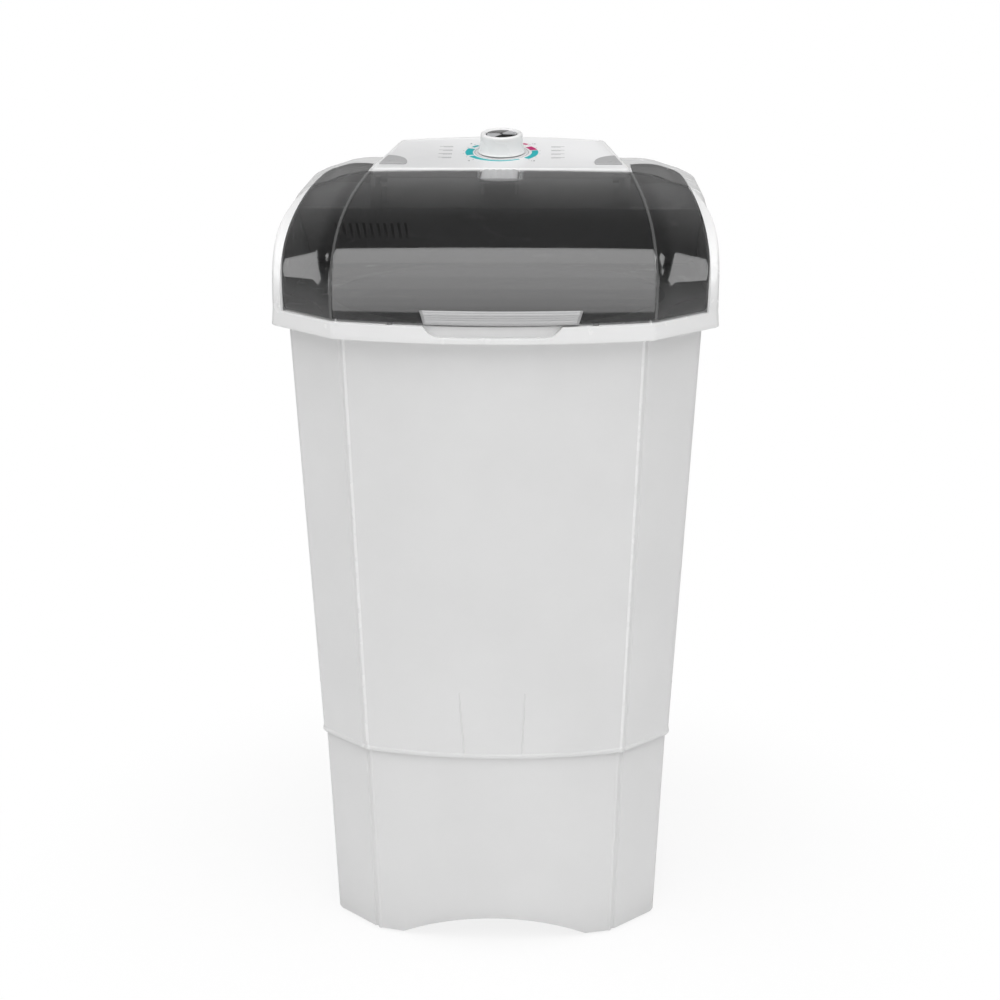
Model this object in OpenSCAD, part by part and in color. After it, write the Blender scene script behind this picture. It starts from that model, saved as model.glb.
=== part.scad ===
// Tub washing machine with a tapered octagonal cabinet, a smoked lid and a timer panel.
// Millimetres, +Z up, front towards -Y, origin on the floor under the middle of the bounding box.

/* [Cabinet and base] */
// Half width of the base at the floor
foot_half_w = 208; // [195:1:212]
// Half width of the front face of the base at the floor
foot_crease = 151; // [130:1:165]
// Half width of the cabinet at its lower edge
seam_half_w = 222; // [219:1:228]
// Half width of the front face at the lower edge of the cabinet
seam_crease = 162; // [150:1:170]
// Half width of the cabinet at its top edge
top_half_w = 250; // [246:1:256]
// Half width of the front face at the top edge of the cabinet
top_crease = 180; // [170:1:190]
// How far the front face bulges in the middle, at the top frame
front_bulge = 29; // [15:1:34]
// How far the front face bulges in the middle, at the floor
foot_bulge = 24; // [12:1:30]
// Cut of the two rear corners
rear_cut = 35; // [25:1:45]
// Height of the seam between base and cabinet
seam_z = 260; // [240:1:275]
// Wall of the cabinet and the base
wall = 3; // [2.5:0.1:4]
// How far the base reaches up inside the cabinet
seam_lap = 12; // [8:1:18]
// Height of the gap under the base wall
skirt_gap = 3; // [2:0.5:4]
// Width of the arch cut into each side of the base
arch_w = 236; // [180:1:250]
// Rise of the arch
arch_h = 20; // [10:1:26]
// Softness of the vertical creases
crease_soft = 7; // [4:0.5:10]

/* [Top frame] */
// Half width of the top frame at its lower edge
rim_half_w = 270; // [266:1:276]
// Half width of the front face of the top frame
rim_crease = 189; // [182:1:196]
// Height of the lower edge of the top frame
rim_z = 798; // [780:1:820]
// Height of the collar of the top frame
collar_h = 19.5; // [16:0.5:24]
// Wall of the top frame
frame_wall = 3.5; // [3:0.1:4]
// Depth of the ledge that the lid closes onto
ledge_w = 11; // [8:0.5:14]
// Height of the shoulder arc centre above the collar
shoulder_rise = 79.5; // [70:0.5:90]
// Radius of the shoulder
shoulder_r = 40; // [37:1:44]
// Slope of the roof beside the panel
roof_slope = 14; // [11:0.5:16]
// Rise of the roof in the middle
roof_crown = 1.7; // [0.5:0.1:3]
// Half width of the flat part of the roof
roof_crease = 170; // [164:1:176]
// Front edge of the hood
hood_front = 58; // [56:1:64]

/* [Lid] */
// Thickness of the lid
lid_wall = 3; // [2.5:0.1:3.5]
// Gap between the lid and the arms of the frame
lid_gap = 2; // [1.5:0.1:3]
// Gap between the lid and the collar below
lid_seat_gap = 2.5; // [2:0.1:3]
// Gap between the rear edge of the lid and the hood
lid_rear_gap = 5.5; // [5:0.1:7]
// Width of the white band beside the lid
arm_band = 16.5; // [13:0.5:19]
// Radius of the hinge pins
pin_r = 2.5; // [2:0.1:3]
// Distance of the hinge pins from the middle
pin_x = 150; // [120:1:156]
// Width of the lid handle at its top edge
handle_w = 190; // [150:1:200]
// Height of the lid handle
handle_h = 13.5; // [10:0.5:16]
// How far the lid handle stands out
handle_out = 6; // [4:0.5:8]
// Offset of the lid handle to the right
handle_x = 10; // [0:1:14]

/* [Control panel] */
// Half width of the panel at its front edge
panel_front_half_w = 169; // [160:1:172]
// Half width of the panel at its rear edge
panel_rear_half_w = 138; // [128:1:150]
// Depth of the panel from front edge to rear corners
panel_depth = 140; // [130:1:150]
// Bow of the rear edge of the panel
panel_bow = 18; // [8:1:24]
// Slope of the panel
panel_slope = 8.6; // [6:0.2:9]
// Height of the panel's front edge above the crease of the roof
panel_lip = 2.7; // [2:0.1:4]
// Distance of the dial behind the front edge of the panel
dial_back = 80; // [76:1:84]
// Radius of the knob at its foot
knob_r = 27.5; // [24:0.5:30]
// Height of the knob
knob_h = 26.5; // [22:0.5:30]
// Half width of the inlet spout
spout_half_w = 26.5; // [22:0.5:29]
// Length of the inlet spout in front of the panel
spout_len = 70; // [62:1:74]

/* [Tub and agitator] */
// Inner radius of the tub at its mouth
tub_mouth_r = 214; // [205:1:216]
// Inner radius of the tub at its floor
tub_floor_r = 190; // [180:1:196]
// Height of the tub floor
tub_floor_z = 300; // [290:1:310]
// Wall of the tub
tub_wall = 2.8; // [2.2:0.1:3.5]
// Radius of the agitator
agitator_r = 158; // [140:1:168]
// Height of the agitator vanes
vane_h = 42; // [30:1:55]
// Number of agitator vanes
vanes = 5; // [3:1:6]
// Radius of the agitator shaft
shaft_r = 8; // [7:0.5:9]
// Radial running clearance of shafts and pins
run_fit = 0.05; // [0.03:0.01:0.08]
// Gap left between neighbouring pieces
seat_gap = 0.3; // [0.2:0.05:0.4]

/* [Belt drive] */
// Distance from the agitator shaft to the motor shaft
belt_centres = 135; // [130:1:138]
// Pitch radius of the driven pulley
driven_r = 92; // [84:1:94]
// Pitch radius of the motor pulley
driver_r = 23; // [22:0.5:26]
// Height of the belt's middle plane
belt_z = 166; // [160:1:172]
// Width of the belt at its back
belt_w = 10; // [9:0.5:11]
// Thickness of the belt
belt_t = 7; // [6:0.5:8]
// Radius of the motor housing
motor_r = 58; // [50:1:60]
// Length of the motor housing
motor_h = 94; // [80:1:96]
// Radius of the motor shaft
motor_shaft_r = 6; // [5:0.5:7]

/* [Water and mains] */
// Outer radius of the inlet nozzle thread
inlet_r = 13.2; // [12:0.1:13.4]
// Outer radius of the drain spigot
drain_r = 14; // [12:0.5:16]
// Radius of the bore for the mains cord
cord_bore_r = 3.6; // [3:0.1:4.5]
// How far the inlet nozzle stands out at the back
nozzle_out = 22; // [16:1:28]
// How far the drain spigot stands out at the back
drain_out = 32; // [20:1:44]

/* [Hidden] */
$fn = 64;
plane_steps = 12;
frame_top = rim_z + collar_h;
collar_half_w = rim_half_w - 1.5;
collar_crease = rim_crease - 0.5;
lid_z = frame_top + lid_seat_gap;
shoulder_x = collar_half_w - shoulder_r;
shoulder_z = frame_top + shoulder_rise;
shoulder_end = 90 - roof_slope;
roof_crease_z = shoulder_z + shoulder_r * sin(shoulder_end)
              + (shoulder_x + shoulder_r * cos(shoulder_end) - roof_crease) * tan(roof_slope);
lid_rear = hood_front - lid_rear_gap;
hinge_y = lid_rear - 6;
hinge_z = roof_crease_z - 8.3;
panel_front = hood_front + 2;
panel_front_z = roof_crease_z + panel_lip;
dial_y = panel_front + dial_back;
panel_wall = 3;
panel_clear = 0.5;
panel_foot_z = roof_crease_z - 9;
bulkhead_y = panel_front + panel_wall;
deck_z = rim_z + 3;
deck_wall = 3.5;
deck_top = deck_z + deck_wall;
front_reach = rim_half_w + front_bulge;
rear_reach = rim_half_w + nozzle_out;
centre_shift = (front_reach - rear_reach) / 2;
white_plastic = "#e4e4e4";
grey_plastic = "#bdbdbd";
smoke = "#3a3a3a";
steel = "#b8bcc0";
dark = "#2a2a2a";

// Helpers for curves and lofted shells.

function mix(a, b, t) = a + (b - a) * t;
function unit(v) = v / norm(v);

// Point at t on a cubic curve with four control points.
function bezier(p, t) =
    pow(1 - t, 3) * p[0] + 3 * t * pow(1 - t, 2) * p[1] + 3 * t * t * (1 - t) * p[2] + pow(t, 3) * p[3];

// Each corner of a closed outline becomes three points that round it.
function soft_outline(p, r) = [
    for (i = [0 : len(p) - 1])
        let (before = p[(i + len(p) - 1) % len(p)], here = p[i], after = p[(i + 1) % len(p)])
        let (a = here + r * unit(before - here), b = here + r * unit(after - here))
        for (t = [0, 0.5, 1]) a * pow(1 - t, 2) + here * 2 * t * (1 - t) + b * t * t
];

// Octagonal plan with cut front corners, smaller cut rear corners and a bulged front.
function plan(half_w, crease, bulge, soft) =
    let (rear = half_w - rear_cut)
    let (soft_corners = soft_outline([
        [-crease, -half_w], [crease, -half_w], [half_w, -crease], [half_w, rear],
        [rear, half_w], [-rear, half_w], [-half_w, rear], [-half_w, -crease]], soft))
    let (front = [for (i = [1 : plane_steps - 1]) [mix(-crease, crease, i / plane_steps), -half_w]])
    let (outline = concat([for (i = [0 : 2]) soft_corners[i]], front, [for (i = [3 : 23]) soft_corners[i]]))
    [for (p = outline) p[1] < -half_w + soft / 2 && abs(p[0]) < crease
        ? [p[0], p[1] - bulge * (1 - pow(p[0] / crease, 2))] : p];

function at_height(outline, z) = [for (p = outline) [p[0], p[1], z]];

function middle(ring) = [for (i = [0 : len(ring) - 1]) 1] * ring / len(ring);

// Solid between rings of points. A closed tube joins its last ring to its first.
module loft(rings, tube = false) {
    n = len(rings[0]);
    m = len(rings);
    last = tube ? m - 1 : m - 2;
    sides = [for (j = [0 : last]) for (i = [0 : n - 1])
        let (a = j * n + i, b = j * n + (i + 1) % n, c = ((j + 1) % m) * n + (i + 1) % n, d = ((j + 1) % m) * n + i)
        each [[a, d, c], [a, c, b]]];
    // Both ends close as fans round the middle of their ring.
    caps = tube ? [] : [for (i = [0 : n - 1])
        each [[m * n, i, (i + 1) % n], [m * n + 1, (m - 1) * n + (i + 1) % n, (m - 1) * n + i]]];
    points = concat([for (r = rings) each r], tube ? [] : [middle(rings[0]), middle(rings[m - 1])]);
    polyhedron(points = points, faces = concat(sides, caps), convexity = 10);
}

// Curved plate between an outer and an inner grid of points.
module plate(outer, inner) {
    rows = len(outer);
    cols = len(outer[0]);
    skip = rows * cols;
    function id(i, j) = i * cols + j;
    top = [for (i = [0 : rows - 2]) for (j = [0 : cols - 2])
        each [[id(i, j), id(i, j + 1), id(i + 1, j + 1)], [id(i, j), id(i + 1, j + 1), id(i + 1, j)]]];
    under = [for (f = top) [f[2] + skip, f[1] + skip, f[0] + skip]];
    edge = concat(
        [for (j = [0 : cols - 1]) id(0, j)], [for (i = [1 : rows - 1]) id(i, cols - 1)],
        [for (j = [cols - 2 : -1 : 0]) id(rows - 1, j)], [for (i = [rows - 2 : -1 : 1]) id(i, 0)]);
    k = len(edge);
    rim = [for (e = [0 : k - 1]) let (a = edge[e], b = edge[(e + 1) % k])
        each [[b, a, a + skip], [b, a + skip, b + skip]]];
    polyhedron(points = concat([for (r = outer) each r], [for (r = inner) each r]),
        faces = concat(top, under, rim), convexity = 10);
}

// Puts the machine's own middle over the origin.
module placed() translate([0, centre_shift, 0]) children();

// Straight round tube or rod along Y, from one place to another.
module rod_y(x, y0, y1, z, r) translate([x, y0, z]) rotate([-90, 0, 0]) cylinder(r = r, h = y1 - y0);
module rod_x(x0, x1, y, z, r) translate([x0, y, z]) rotate([0, 90, 0]) cylinder(r = r, h = x1 - x0);

// Base and cabinet

function bulge_at(z) = mix(foot_bulge, front_bulge, z / rim_z);
function base_ring(z, inset) =
    let (t = z / seam_z, top_w = seam_half_w - wall - seat_gap)
    at_height(plan(mix(foot_half_w, top_w, t) - inset, mix(foot_crease, seam_crease - wall, t) - inset * 0.4,
        bulge_at(z), crease_soft), z);
function cabinet_ring(z, inset) =
    let (t = (z - seam_z) / (rim_z - seam_z))
    at_height(plan(mix(seam_half_w, top_half_w, t) - inset, mix(seam_crease, top_crease, t) - inset * 0.4,
        bulge_at(z), crease_soft), z);

arch_r = (arch_w * arch_w / 4 + arch_h * arch_h) / (2 * arch_h);
arch_axis_z = skirt_gap + arch_h - arch_r;
foot_r = 13;
foot_top = 6;
gusset_h = 4;
gusset_depth = 40;
foot_places = [
    for (side = [-1, 1]) [side, -1, (foot_half_w + foot_crease) / sqrt(2), 60],
    for (side = [-1, 1]) [side, 1, (2 * foot_half_w - rear_cut) / sqrt(2), 36]
];

// Turns its children so that +X points at a corner of the base.
module at_corner(place) rotate([0, 0, atan2(place[1], place[0])]) children();

module base_skirt() placed() color(white_plastic) {
    difference() {
        loft([base_ring(skirt_gap, 0), base_ring(seam_z + seam_lap, 0),
              base_ring(seam_z + seam_lap, wall), base_ring(skirt_gap, wall)], tube = true);
        rod_y(0, -rim_half_w - 100, rim_half_w + 100, arch_axis_z, arch_r, $fn = 180);
        rod_x(-rim_half_w - 100, rim_half_w + 100, 0, arch_axis_z, arch_r, $fn = 180);
        rod_y(drain_x, 0, rim_half_w, drain_z, drain_r + 2 * seat_gap);
    }
    for (place = foot_places)
        at_corner(place) translate([place[2] - wall - gusset_depth, -place[3] / 2, foot_top])
            cube([gusset_depth + wall - 1, place[3], gusset_h]);
}

module rubber_feet() placed() color(dark)
    for (place = foot_places) at_corner(place)
        translate([place[2] - wall - foot_r - 5, 0, 0]) {
            cylinder(r1 = foot_r - 1.5, r2 = foot_r, h = 2);
            translate([0, 0, 2]) cylinder(r = foot_r, h = foot_top - 2 - seat_gap);
        }

lip_h = 5;
lip_out = 1.2;
rib_len = 84;
rib_places = [[-37, 4], [35, -2.5]];

module cabinet_shell() placed() color(white_plastic) {
    top = deck_z - seat_gap;
    difference() {
        loft([cabinet_ring(seam_z, -lip_out), cabinet_ring(seam_z + lip_h, -lip_out),
              cabinet_ring(seam_z + lip_h + 0.8, 0), cabinet_ring(top, 0),
              cabinet_ring(top, wall), cabinet_ring(seam_z, wall)], tube = true);
        rod_y(drain_x, 0, rim_half_w, drain_z, drain_r + 2 * seat_gap);
    }
    // Two faint ribs run down the front to the seam.
    for (rib = rib_places) {
        front_at = seam_half_w + bulge_at(seam_z) * (1 - pow(rib[0] / seam_crease, 2));
        lean = atan((top_half_w - seam_half_w + bulge_at(rim_z) - bulge_at(seam_z)) / (rim_z - seam_z));
        translate([rib[0], -front_at - 0.7, seam_z + lip_h]) rotate([lean, rib[1], 0])
            cube([1.6, wall * 0.7, rib_len]);
    }
}

// Tub

tub_top = deck_z - seat_gap;
flange_r = tub_mouth_r + 22;
tub_corner_r = 30;
seal_r = 14;
boss_h = 8;
bolt_circle = 48;
bolt_r = 3;
floor_under = tub_floor_z - tub_wall;
drain_x = -50;
drain_y = 120;
sump_r = 26;
drain_z = floor_under - 3 - drain_r;

function tub_profile(inset) =
    let (r = tub_corner_r + inset, slope_r = tub_floor_r + inset)
    [for (a = [0 : 15 : 90]) [slope_r - r + r * sin(a), tub_floor_z + tub_corner_r - r * cos(a)]];

module wash_tub() placed() color("#f2f2f2") difference() {
    union() {
        rotate_extrude($fn = 120) polygon(concat(
            [[seal_r, floor_under]], tub_profile(tub_wall),
            [[tub_mouth_r + tub_wall, tub_top - 3], [flange_r, tub_top - 3], [flange_r, tub_top],
             [tub_mouth_r, tub_top]],
            [for (i = [6 : -1 : 0]) tub_profile(0)[i]], [[seal_r, tub_floor_z]]));
        for (a = [45 : 90 : 359]) rotate([0, 0, a]) translate([bolt_circle, 0, floor_under - boss_h])
            cylinder(r = 7, h = boss_h + 1);
        // Sump that feeds the drain
        translate([drain_x, drain_y, floor_under - 3]) cylinder(r = sump_r, h = 4);
    }
    for (a = [45 : 90 : 359]) rotate([0, 0, a]) translate([bolt_circle, 0, floor_under - boss_h - 1])
        cylinder(r = bolt_r + 0.1, h = boss_h);
    translate([drain_x, drain_y, floor_under - 4]) cylinder(r = 20, h = 20);
}

module drain_grate() placed() color(grey_plastic) translate([drain_x, drain_y, floor_under - 1]) difference() {
    cylinder(r = 20 - seat_gap, h = tub_wall);
    for (i = [-2 : 2]) translate([i * 6 - 1.2, -11, -1]) cube([2.4, 22, 9]);
}

// Elbow below the sump and a straight spigot out of the back, for the drain hose
drain_wall = 2.5;
neck_step = 0.5;
module drain_pipe() placed() color(grey_plastic) {
    neck_end = seam_half_w + lip_out + 1;
    end = neck_end + drain_out;
    difference() {
        union() {
            translate([drain_x, drain_y, drain_z]) cylinder(r = drain_r - neck_step, h = drain_r - seat_gap);
            translate([drain_x, drain_y, drain_z + drain_r - seat_gap - drain_wall]) cylinder(r = sump_r, h = drain_wall);
            rod_y(drain_x, drain_y - drain_r, neck_end, drain_z, drain_r - neck_step);
            rod_y(drain_x, neck_end, end, drain_z, drain_r);
        }
        rod_y(drain_x, drain_y - drain_r + drain_wall, end + 1, drain_z, drain_r - drain_wall - neck_step);
        translate([drain_x, drain_y, drain_z]) cylinder(r = drain_r - drain_wall - neck_step, h = 60);
    }
}

// Outer form shared by the top frame and the lid

arm_rows = 14;
lid_rows = 15;
side_arc = 62;
side_length = shoulder_rise + shoulder_r * side_arc * PI / 180;

// Point on one side of the hood's outline: up the wall, then round the shoulder.
function side_point(s, inset) =
    let (d = s * side_length, r = max(shoulder_r - inset, 1), a = max(0, (d - shoulder_rise) / shoulder_r * 180 / PI))
    [shoulder_x + r * cos(a), min(frame_top + d, shoulder_z) + r * sin(a)];

function hood_outline(inset, drop) =
    let (r = max(shoulder_r - inset, 1))
    let (wall_top = shoulder_rise / side_length)
    let (side = concat([side_point(0, inset) - [0, drop]],
        [for (i = [0 : arm_rows]) if (i / arm_rows >= wall_top) side_point(i / arm_rows, inset)],
        [[shoulder_x + r * cos(shoulder_end), shoulder_z + r * sin(shoulder_end)],
         [roof_crease - 0.13 * inset, roof_crease_z - inset],
         [roof_crease / 2, roof_crease_z + 0.75 * roof_crown - inset]]))
    concat([for (p = side) [-p[0], p[1]]], [[0, roof_crease_z + roof_crown - inset]],
        [for (i = [len(side) - 1 : -1 : 0]) side[i]]);

// The arms stand on the collar and end at the hood.
arm_back = hood_front - seat_gap;
arm_foot = frame_top + seat_gap;

// Curves that run from the collar up and back: lid edge, arm corner, lid crease and lid middle.
edge_x = shoulder_x + 16.5;
edge_end_z = shoulder_z + sqrt(pow(shoulder_r, 2) - pow(edge_x - shoulder_x, 2));
wall_end = side_point(1, 0);
lid_front = collar_half_w - 7;
lid_crease = collar_crease + 1;
edge_curve = [
    [collar_half_w - arm_band, -collar_crease - arm_band, frame_top],
    [collar_half_w - 12.5, -collar_crease - 19, frame_top + 72],
    [collar_half_w - 14.5, -92, edge_end_z - 18],
    [edge_x, arm_back, edge_end_z]];
corner_curve = [
    [collar_half_w, -collar_crease, frame_top],
    [collar_half_w + 1, -collar_crease + 1, frame_top + 70],
    [collar_half_w, -92, shoulder_z + 12],
    [wall_end[0] - 0.5, hood_front - 4, wall_end[1] - 0.3]];
crease_curve = [
    [lid_crease, -lid_front, lid_z],
    [lid_crease - 2, -lid_front + 30, lid_z + 95],
    [lid_crease - 10, -140, roof_crease_z - 8],
    [roof_crease, lid_rear, roof_crease_z]];
middle_curve = [
    [0, -lid_front - front_bulge, lid_z],
    [0, -lid_front, lid_z + 98],
    [0, -160, roof_crease_z - 2],
    [0, lid_rear, roof_crease_z + roof_crown]];

// Unit normals of a grid of points, by differences between its neighbours.
function grid_normal(g, i, j) =
    let (rows = len(g) - 1, cols = len(g[0]) - 1)
    unit(cross(g[i][min(j + 1, cols)] - g[i][max(j - 1, 0)], g[min(i + 1, rows)][j] - g[max(i - 1, 0)][j]));
function shifted_grid(g, d) =
    [for (i = [0 : len(g) - 1]) [for (j = [0 : len(g[0]) - 1]) g[i][j] + d * grid_normal(g, i, j)]];

// Rounds the corner between a and b with three points.
function soft_corner(a, here, b, r) =
    let (p = here + min(r, norm(a - here) * 0.35) * unit(a - here), q = here + min(r, norm(b - here) * 0.35) * unit(b - here))
    [p, (p + 2 * here + q) / 4, q];

// Right arm of the top frame, from the wall round the corner to the edge of the lid
function arm_row(t) =
    let (w = side_point(t, 0), edge = bezier(edge_curve, t), corner = bezier(corner_curve, t))
    let (back = [w[0], arm_back, w[1]])
    concat([back], soft_corner(back, corner, edge, crease_soft), [edge]);
arm_grid = [for (i = [0 : arm_rows]) [for (p = arm_row(i / arm_rows)) [p[0], p[1], i == 0 ? arm_foot : p[2]]]];
arm_inner_free = shifted_grid(arm_grid, frame_wall);
arm_inner = [for (i = [0 : arm_rows]) [for (j = [0 : 4])
    let (w = side_point(i / arm_rows, frame_wall), p = arm_inner_free[i][j])
    j == 0 ? [w[0], arm_back, i == 0 ? arm_foot : w[1]] : [p[0], min(p[1], arm_back), i == 0 ? arm_foot : p[2]]]];
module arm() plate(arm_grid, arm_inner);
module frame_arm_right() placed() color(white_plastic) arm();
module frame_arm_left() placed() color(white_plastic) mirror([1, 0, 0]) arm();

// Control panel plan and plane

function panel_z(y) = panel_front_z + (y - panel_front) * tan(panel_slope);
function panel_outline(inset) =
    let (back = panel_front + panel_depth, f = panel_front_half_w - inset, r = panel_rear_half_w - inset)
    let (soft = soft_outline([[-f, panel_front + inset], [f, panel_front + inset], [r, back], [-r, back]], 7))
    concat([for (i = [0 : 8]) soft[i]],
        [for (i = [1 : 7]) let (x = mix(r - 7, -r + 7, i / 8)) [x, back + panel_bow * (1 - pow(x / r, 2)) - inset]],
        [for (i = [9 : 11]) soft[i]]);
function panel_ring(inset, level) = [for (p = panel_outline(inset)) [p[0], p[1], level]];
function panel_top_ring(inset, below) = [for (p = panel_outline(inset)) [p[0], p[1], panel_z(p[1]) - below]];

// Top frame

recess_top_w = 160;
recess_foot_w = 140;
recess_deep = 8.5;
recess_z = deck_top;
inlet_x = 100;
inlet_z = frame_top + 80;
spout_pipe_z = panel_foot_z - 12;
pipe_r = 7;
gland_x = -150;
gland_z = frame_top + 55;
loom_x = top_half_w - 52;
loom_y = top_half_w - 24;
bulkhead_foot_z = frame_top + 87;

function collar_ring(z, inset) =
    let (t = (z - rim_z) / collar_h)
    at_height(plan(mix(rim_half_w, collar_half_w, t) - inset, mix(rim_crease, collar_crease, t) - inset * 0.4,
        front_bulge, crease_soft), z);

module collar() loft([
    collar_ring(rim_z, 0), collar_ring(frame_top, 0), collar_ring(frame_top, ledge_w),
    collar_ring(frame_top - frame_wall, ledge_w), collar_ring(frame_top - frame_wall, frame_wall),
    collar_ring(rim_z, frame_wall)], tube = true);

module collar_plan(inset, z, h) translate([0, 0, z]) linear_extrude(h)
    polygon(plan(rim_half_w - inset, rim_crease - 0.4 * inset, front_bulge, crease_soft));

module finger_recess() intersection() {
    translate([0, 0, recess_z]) rotate([90, 0, 0]) linear_extrude(rim_half_w + 100) polygon(concat(
        [for (i = [3 : 8]) soft_outline([
            [-recess_top_w / 2, collar_h + 2], [-recess_foot_w / 2, 0], [recess_foot_w / 2, 0],
            [recess_top_w / 2, collar_h + 2]], 5)[i]],
        [[recess_top_w / 2, collar_h + 2], [-recess_top_w / 2, collar_h + 2]]));
    difference() {
        translate([-recess_top_w, -rim_half_w - 100, recess_z - 1])
            cube([2 * recess_top_w, rim_half_w, collar_h + 10]);
        collar_plan(recess_deep, recess_z - 2, collar_h + 12);
    }
}

// Inside or outside of the hood: its outline, cut by the plan of the rear corners and a round rear edge
rear_round = 30;
module hood_form(inset, drop, front) intersection() {
    reach = collar_half_w - inset;
    top = roof_crease_z + roof_crown - inset;
    r = rear_round - inset;
    translate([0, reach, 0]) rotate([90, 0, 0]) linear_extrude(reach - front) polygon(hood_outline(inset, drop));
    translate([0, 0, frame_top - drop]) linear_extrude(300)
        polygon(plan(reach, collar_crease - 0.4 * inset, front_bulge, crease_soft));
    across(rim_half_w, concat([[front - 1, 0], [reach, 0]],
        [for (a = [0 : 15 : 90]) [reach - r + r * cos(a), top - r + r * sin(a)]], [[front - 1, top + 1]]));
}

module hood() difference() {
    hood_form(0, -seat_gap, hood_front);
    hood_form(frame_wall, 5, hood_front - 1);
    // The panel sits in this opening of the roof.
    translate([0, 0, panel_foot_z - 6]) linear_extrude(60) {
        polygon(panel_outline(-panel_clear));
        translate([-panel_front_half_w - panel_clear, hood_front - 1]) square([2 * (panel_front_half_w + panel_clear), 12]);
    }
    rod_y(inlet_x, rim_half_w - 30, rim_half_w + 10, inlet_z, inlet_r + seat_gap);
    rod_y(gland_x, rim_half_w - 30, rim_half_w + 10, gland_z, 8);
}

module bulkhead() difference() {
    translate([0, panel_front + frame_wall, 0]) rotate([90, 0, 0]) linear_extrude(frame_wall)
        polygon(hood_outline(2, 0));
    translate([-rim_half_w, hood_front, 0]) cube([2 * rim_half_w, 20, bulkhead_foot_z]);
    translate([-panel_front_half_w - panel_clear, hood_front, panel_foot_z - seat_gap])
        cube([2 * (panel_front_half_w + panel_clear), 20, 60]);
    rod_y(0, hood_front, panel_front + 10, spout_pipe_z, pipe_r + seat_gap);
}

// Ledge that carries one side of the panel, hung from the roof beside it
panel_ledge_len = 50;
panel_ledge_w = 18;
module panel_ledge() {
    y = panel_front + panel_depth - panel_ledge_len - 10;
    x = mix(panel_front_half_w, panel_rear_half_w, (y - panel_front) / panel_depth) + panel_clear + 2;
    low = panel_foot_z - seat_gap - frame_wall;
    translate([x - panel_ledge_w, y, low]) cube([panel_ledge_w + frame_wall, panel_ledge_len, frame_wall]);
    translate([x, y, low]) cube([frame_wall, panel_ledge_len, roof_crease_z - 1.5 - low]);
}

module rear_hood() placed() color(white_plastic) {
    hood();
    bulkhead();
    panel_ledge();
    mirror([1, 0, 0]) panel_ledge();
}

// Solid part of the collar behind the finger recess
module grip_block(grow) intersection() {
    collar_plan(grow ? -1 : 2, deck_z - grow, frame_top - deck_z + grow);
    translate([-recess_top_w / 2 - 8 - grow, -front_reach, deck_z - 1])
        cube([recess_top_w + 16 + 2 * grow, recess_deep + 10 + grow, collar_h]);
}

module top_frame() placed() color(white_plastic) difference() {
    union() {
        collar();
        grip_block(0);
    }
    finger_recess();
}

// Deck inside the collar, with the round mouth of the tub
module tub_deck() placed() color(white_plastic) difference() {
    collar_plan(frame_wall + 2 * seat_gap, deck_z, deck_wall);
    translate([0, 0, deck_z - 1]) cylinder(r = tub_mouth_r, h = deck_wall + 2, $fn = 120);
    translate([loom_x, loom_y, deck_z - 1]) cylinder(r = 9, h = deck_wall + 2);
    grip_block(seat_gap);
}

// Sloping wall behind the tub mouth, with the lint slots
slots = 11;
slot_w = 3.6;
slot_pitch = 9.3;
slot_start_x = -tub_mouth_r - 8;
slot_front_y = 102;
slot_len = 42;
chute_wall = 3;
chute_y = panel_front + frame_wall + seat_gap;
chute_end_y = tub_mouth_r + 2;
chute_side = collar_half_w - frame_wall - seat_gap;
chute_profile = [
    [chute_y, bulkhead_foot_z - 2], [chute_end_y - 3, deck_top + seat_gap], [chute_end_y, deck_top + seat_gap],
    [chute_end_y, deck_top + 4], [chute_y + chute_wall, bulkhead_foot_z + 1],
    [chute_y + chute_wall, panel_foot_z - 8], [chute_y, panel_foot_z - 8]];

module splash_chute() placed() color(white_plastic) difference() {
    intersection() {
        translate([chute_side, 0, 0]) rotate([90, 0, -90]) linear_extrude(2 * chute_side)
            polygon([for (p = chute_profile) [-p[0], p[1]]]);
        translate([0, chute_end_y + 10, 0]) rotate([90, 0, 0]) linear_extrude(chute_end_y)
            polygon(hood_outline(frame_wall + seat_gap, collar_h));
    }
    // Room for the collar's ledge
    for (side = [-1, 1]) translate([side * (collar_half_w - ledge_w - seat_gap + 20), 0, deck_z])
        cube([40, 3 * rim_half_w, 2 * (frame_top + seat_gap - deck_z)], center = true);
    for (i = [0 : slots - 1])
        translate([slot_start_x + i * slot_pitch, slot_front_y, deck_top]) cube([slot_w, slot_len, 120]);
    rod_y(0, chute_y - 5, chute_y + 10, spout_pipe_z, pipe_r + seat_gap);
}

// Control panel, with everything that hangs from it

boss_x = 34;
boss_len = 6;
bracket_t = 2;
timer_r = 26;
timer_h = 38;
stem_r = 3;
knob_top_r = 26;

// Frame of the dial: +Z stands square on the panel's top face.
module on_panel(x = 0, y = dial_y) translate([x, y, panel_z(y)]) rotate([panel_slope, 0, 0]) children();

module control_panel() placed() color(white_plastic) {
    difference() {
        loft([panel_ring(0, panel_foot_z), panel_top_ring(0, 2.2), panel_top_ring(0.7, 0.7), panel_top_ring(2.2, 0)]);
        loft([panel_ring(panel_wall, panel_foot_z - 1), panel_top_ring(panel_wall, panel_wall)]);
        on_panel() translate([0, 0, -10]) cylinder(r = stem_r + 2, h = 20);
    }
    for (side = [-1, 1]) on_panel() translate([side * boss_x, 0, -panel_wall - boss_len]) difference() {
        cylinder(r = 4, h = boss_len + 0.5);
        translate([0, 0, -1]) cylinder(r = 1.5, h = boss_len);
    }
}

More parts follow.
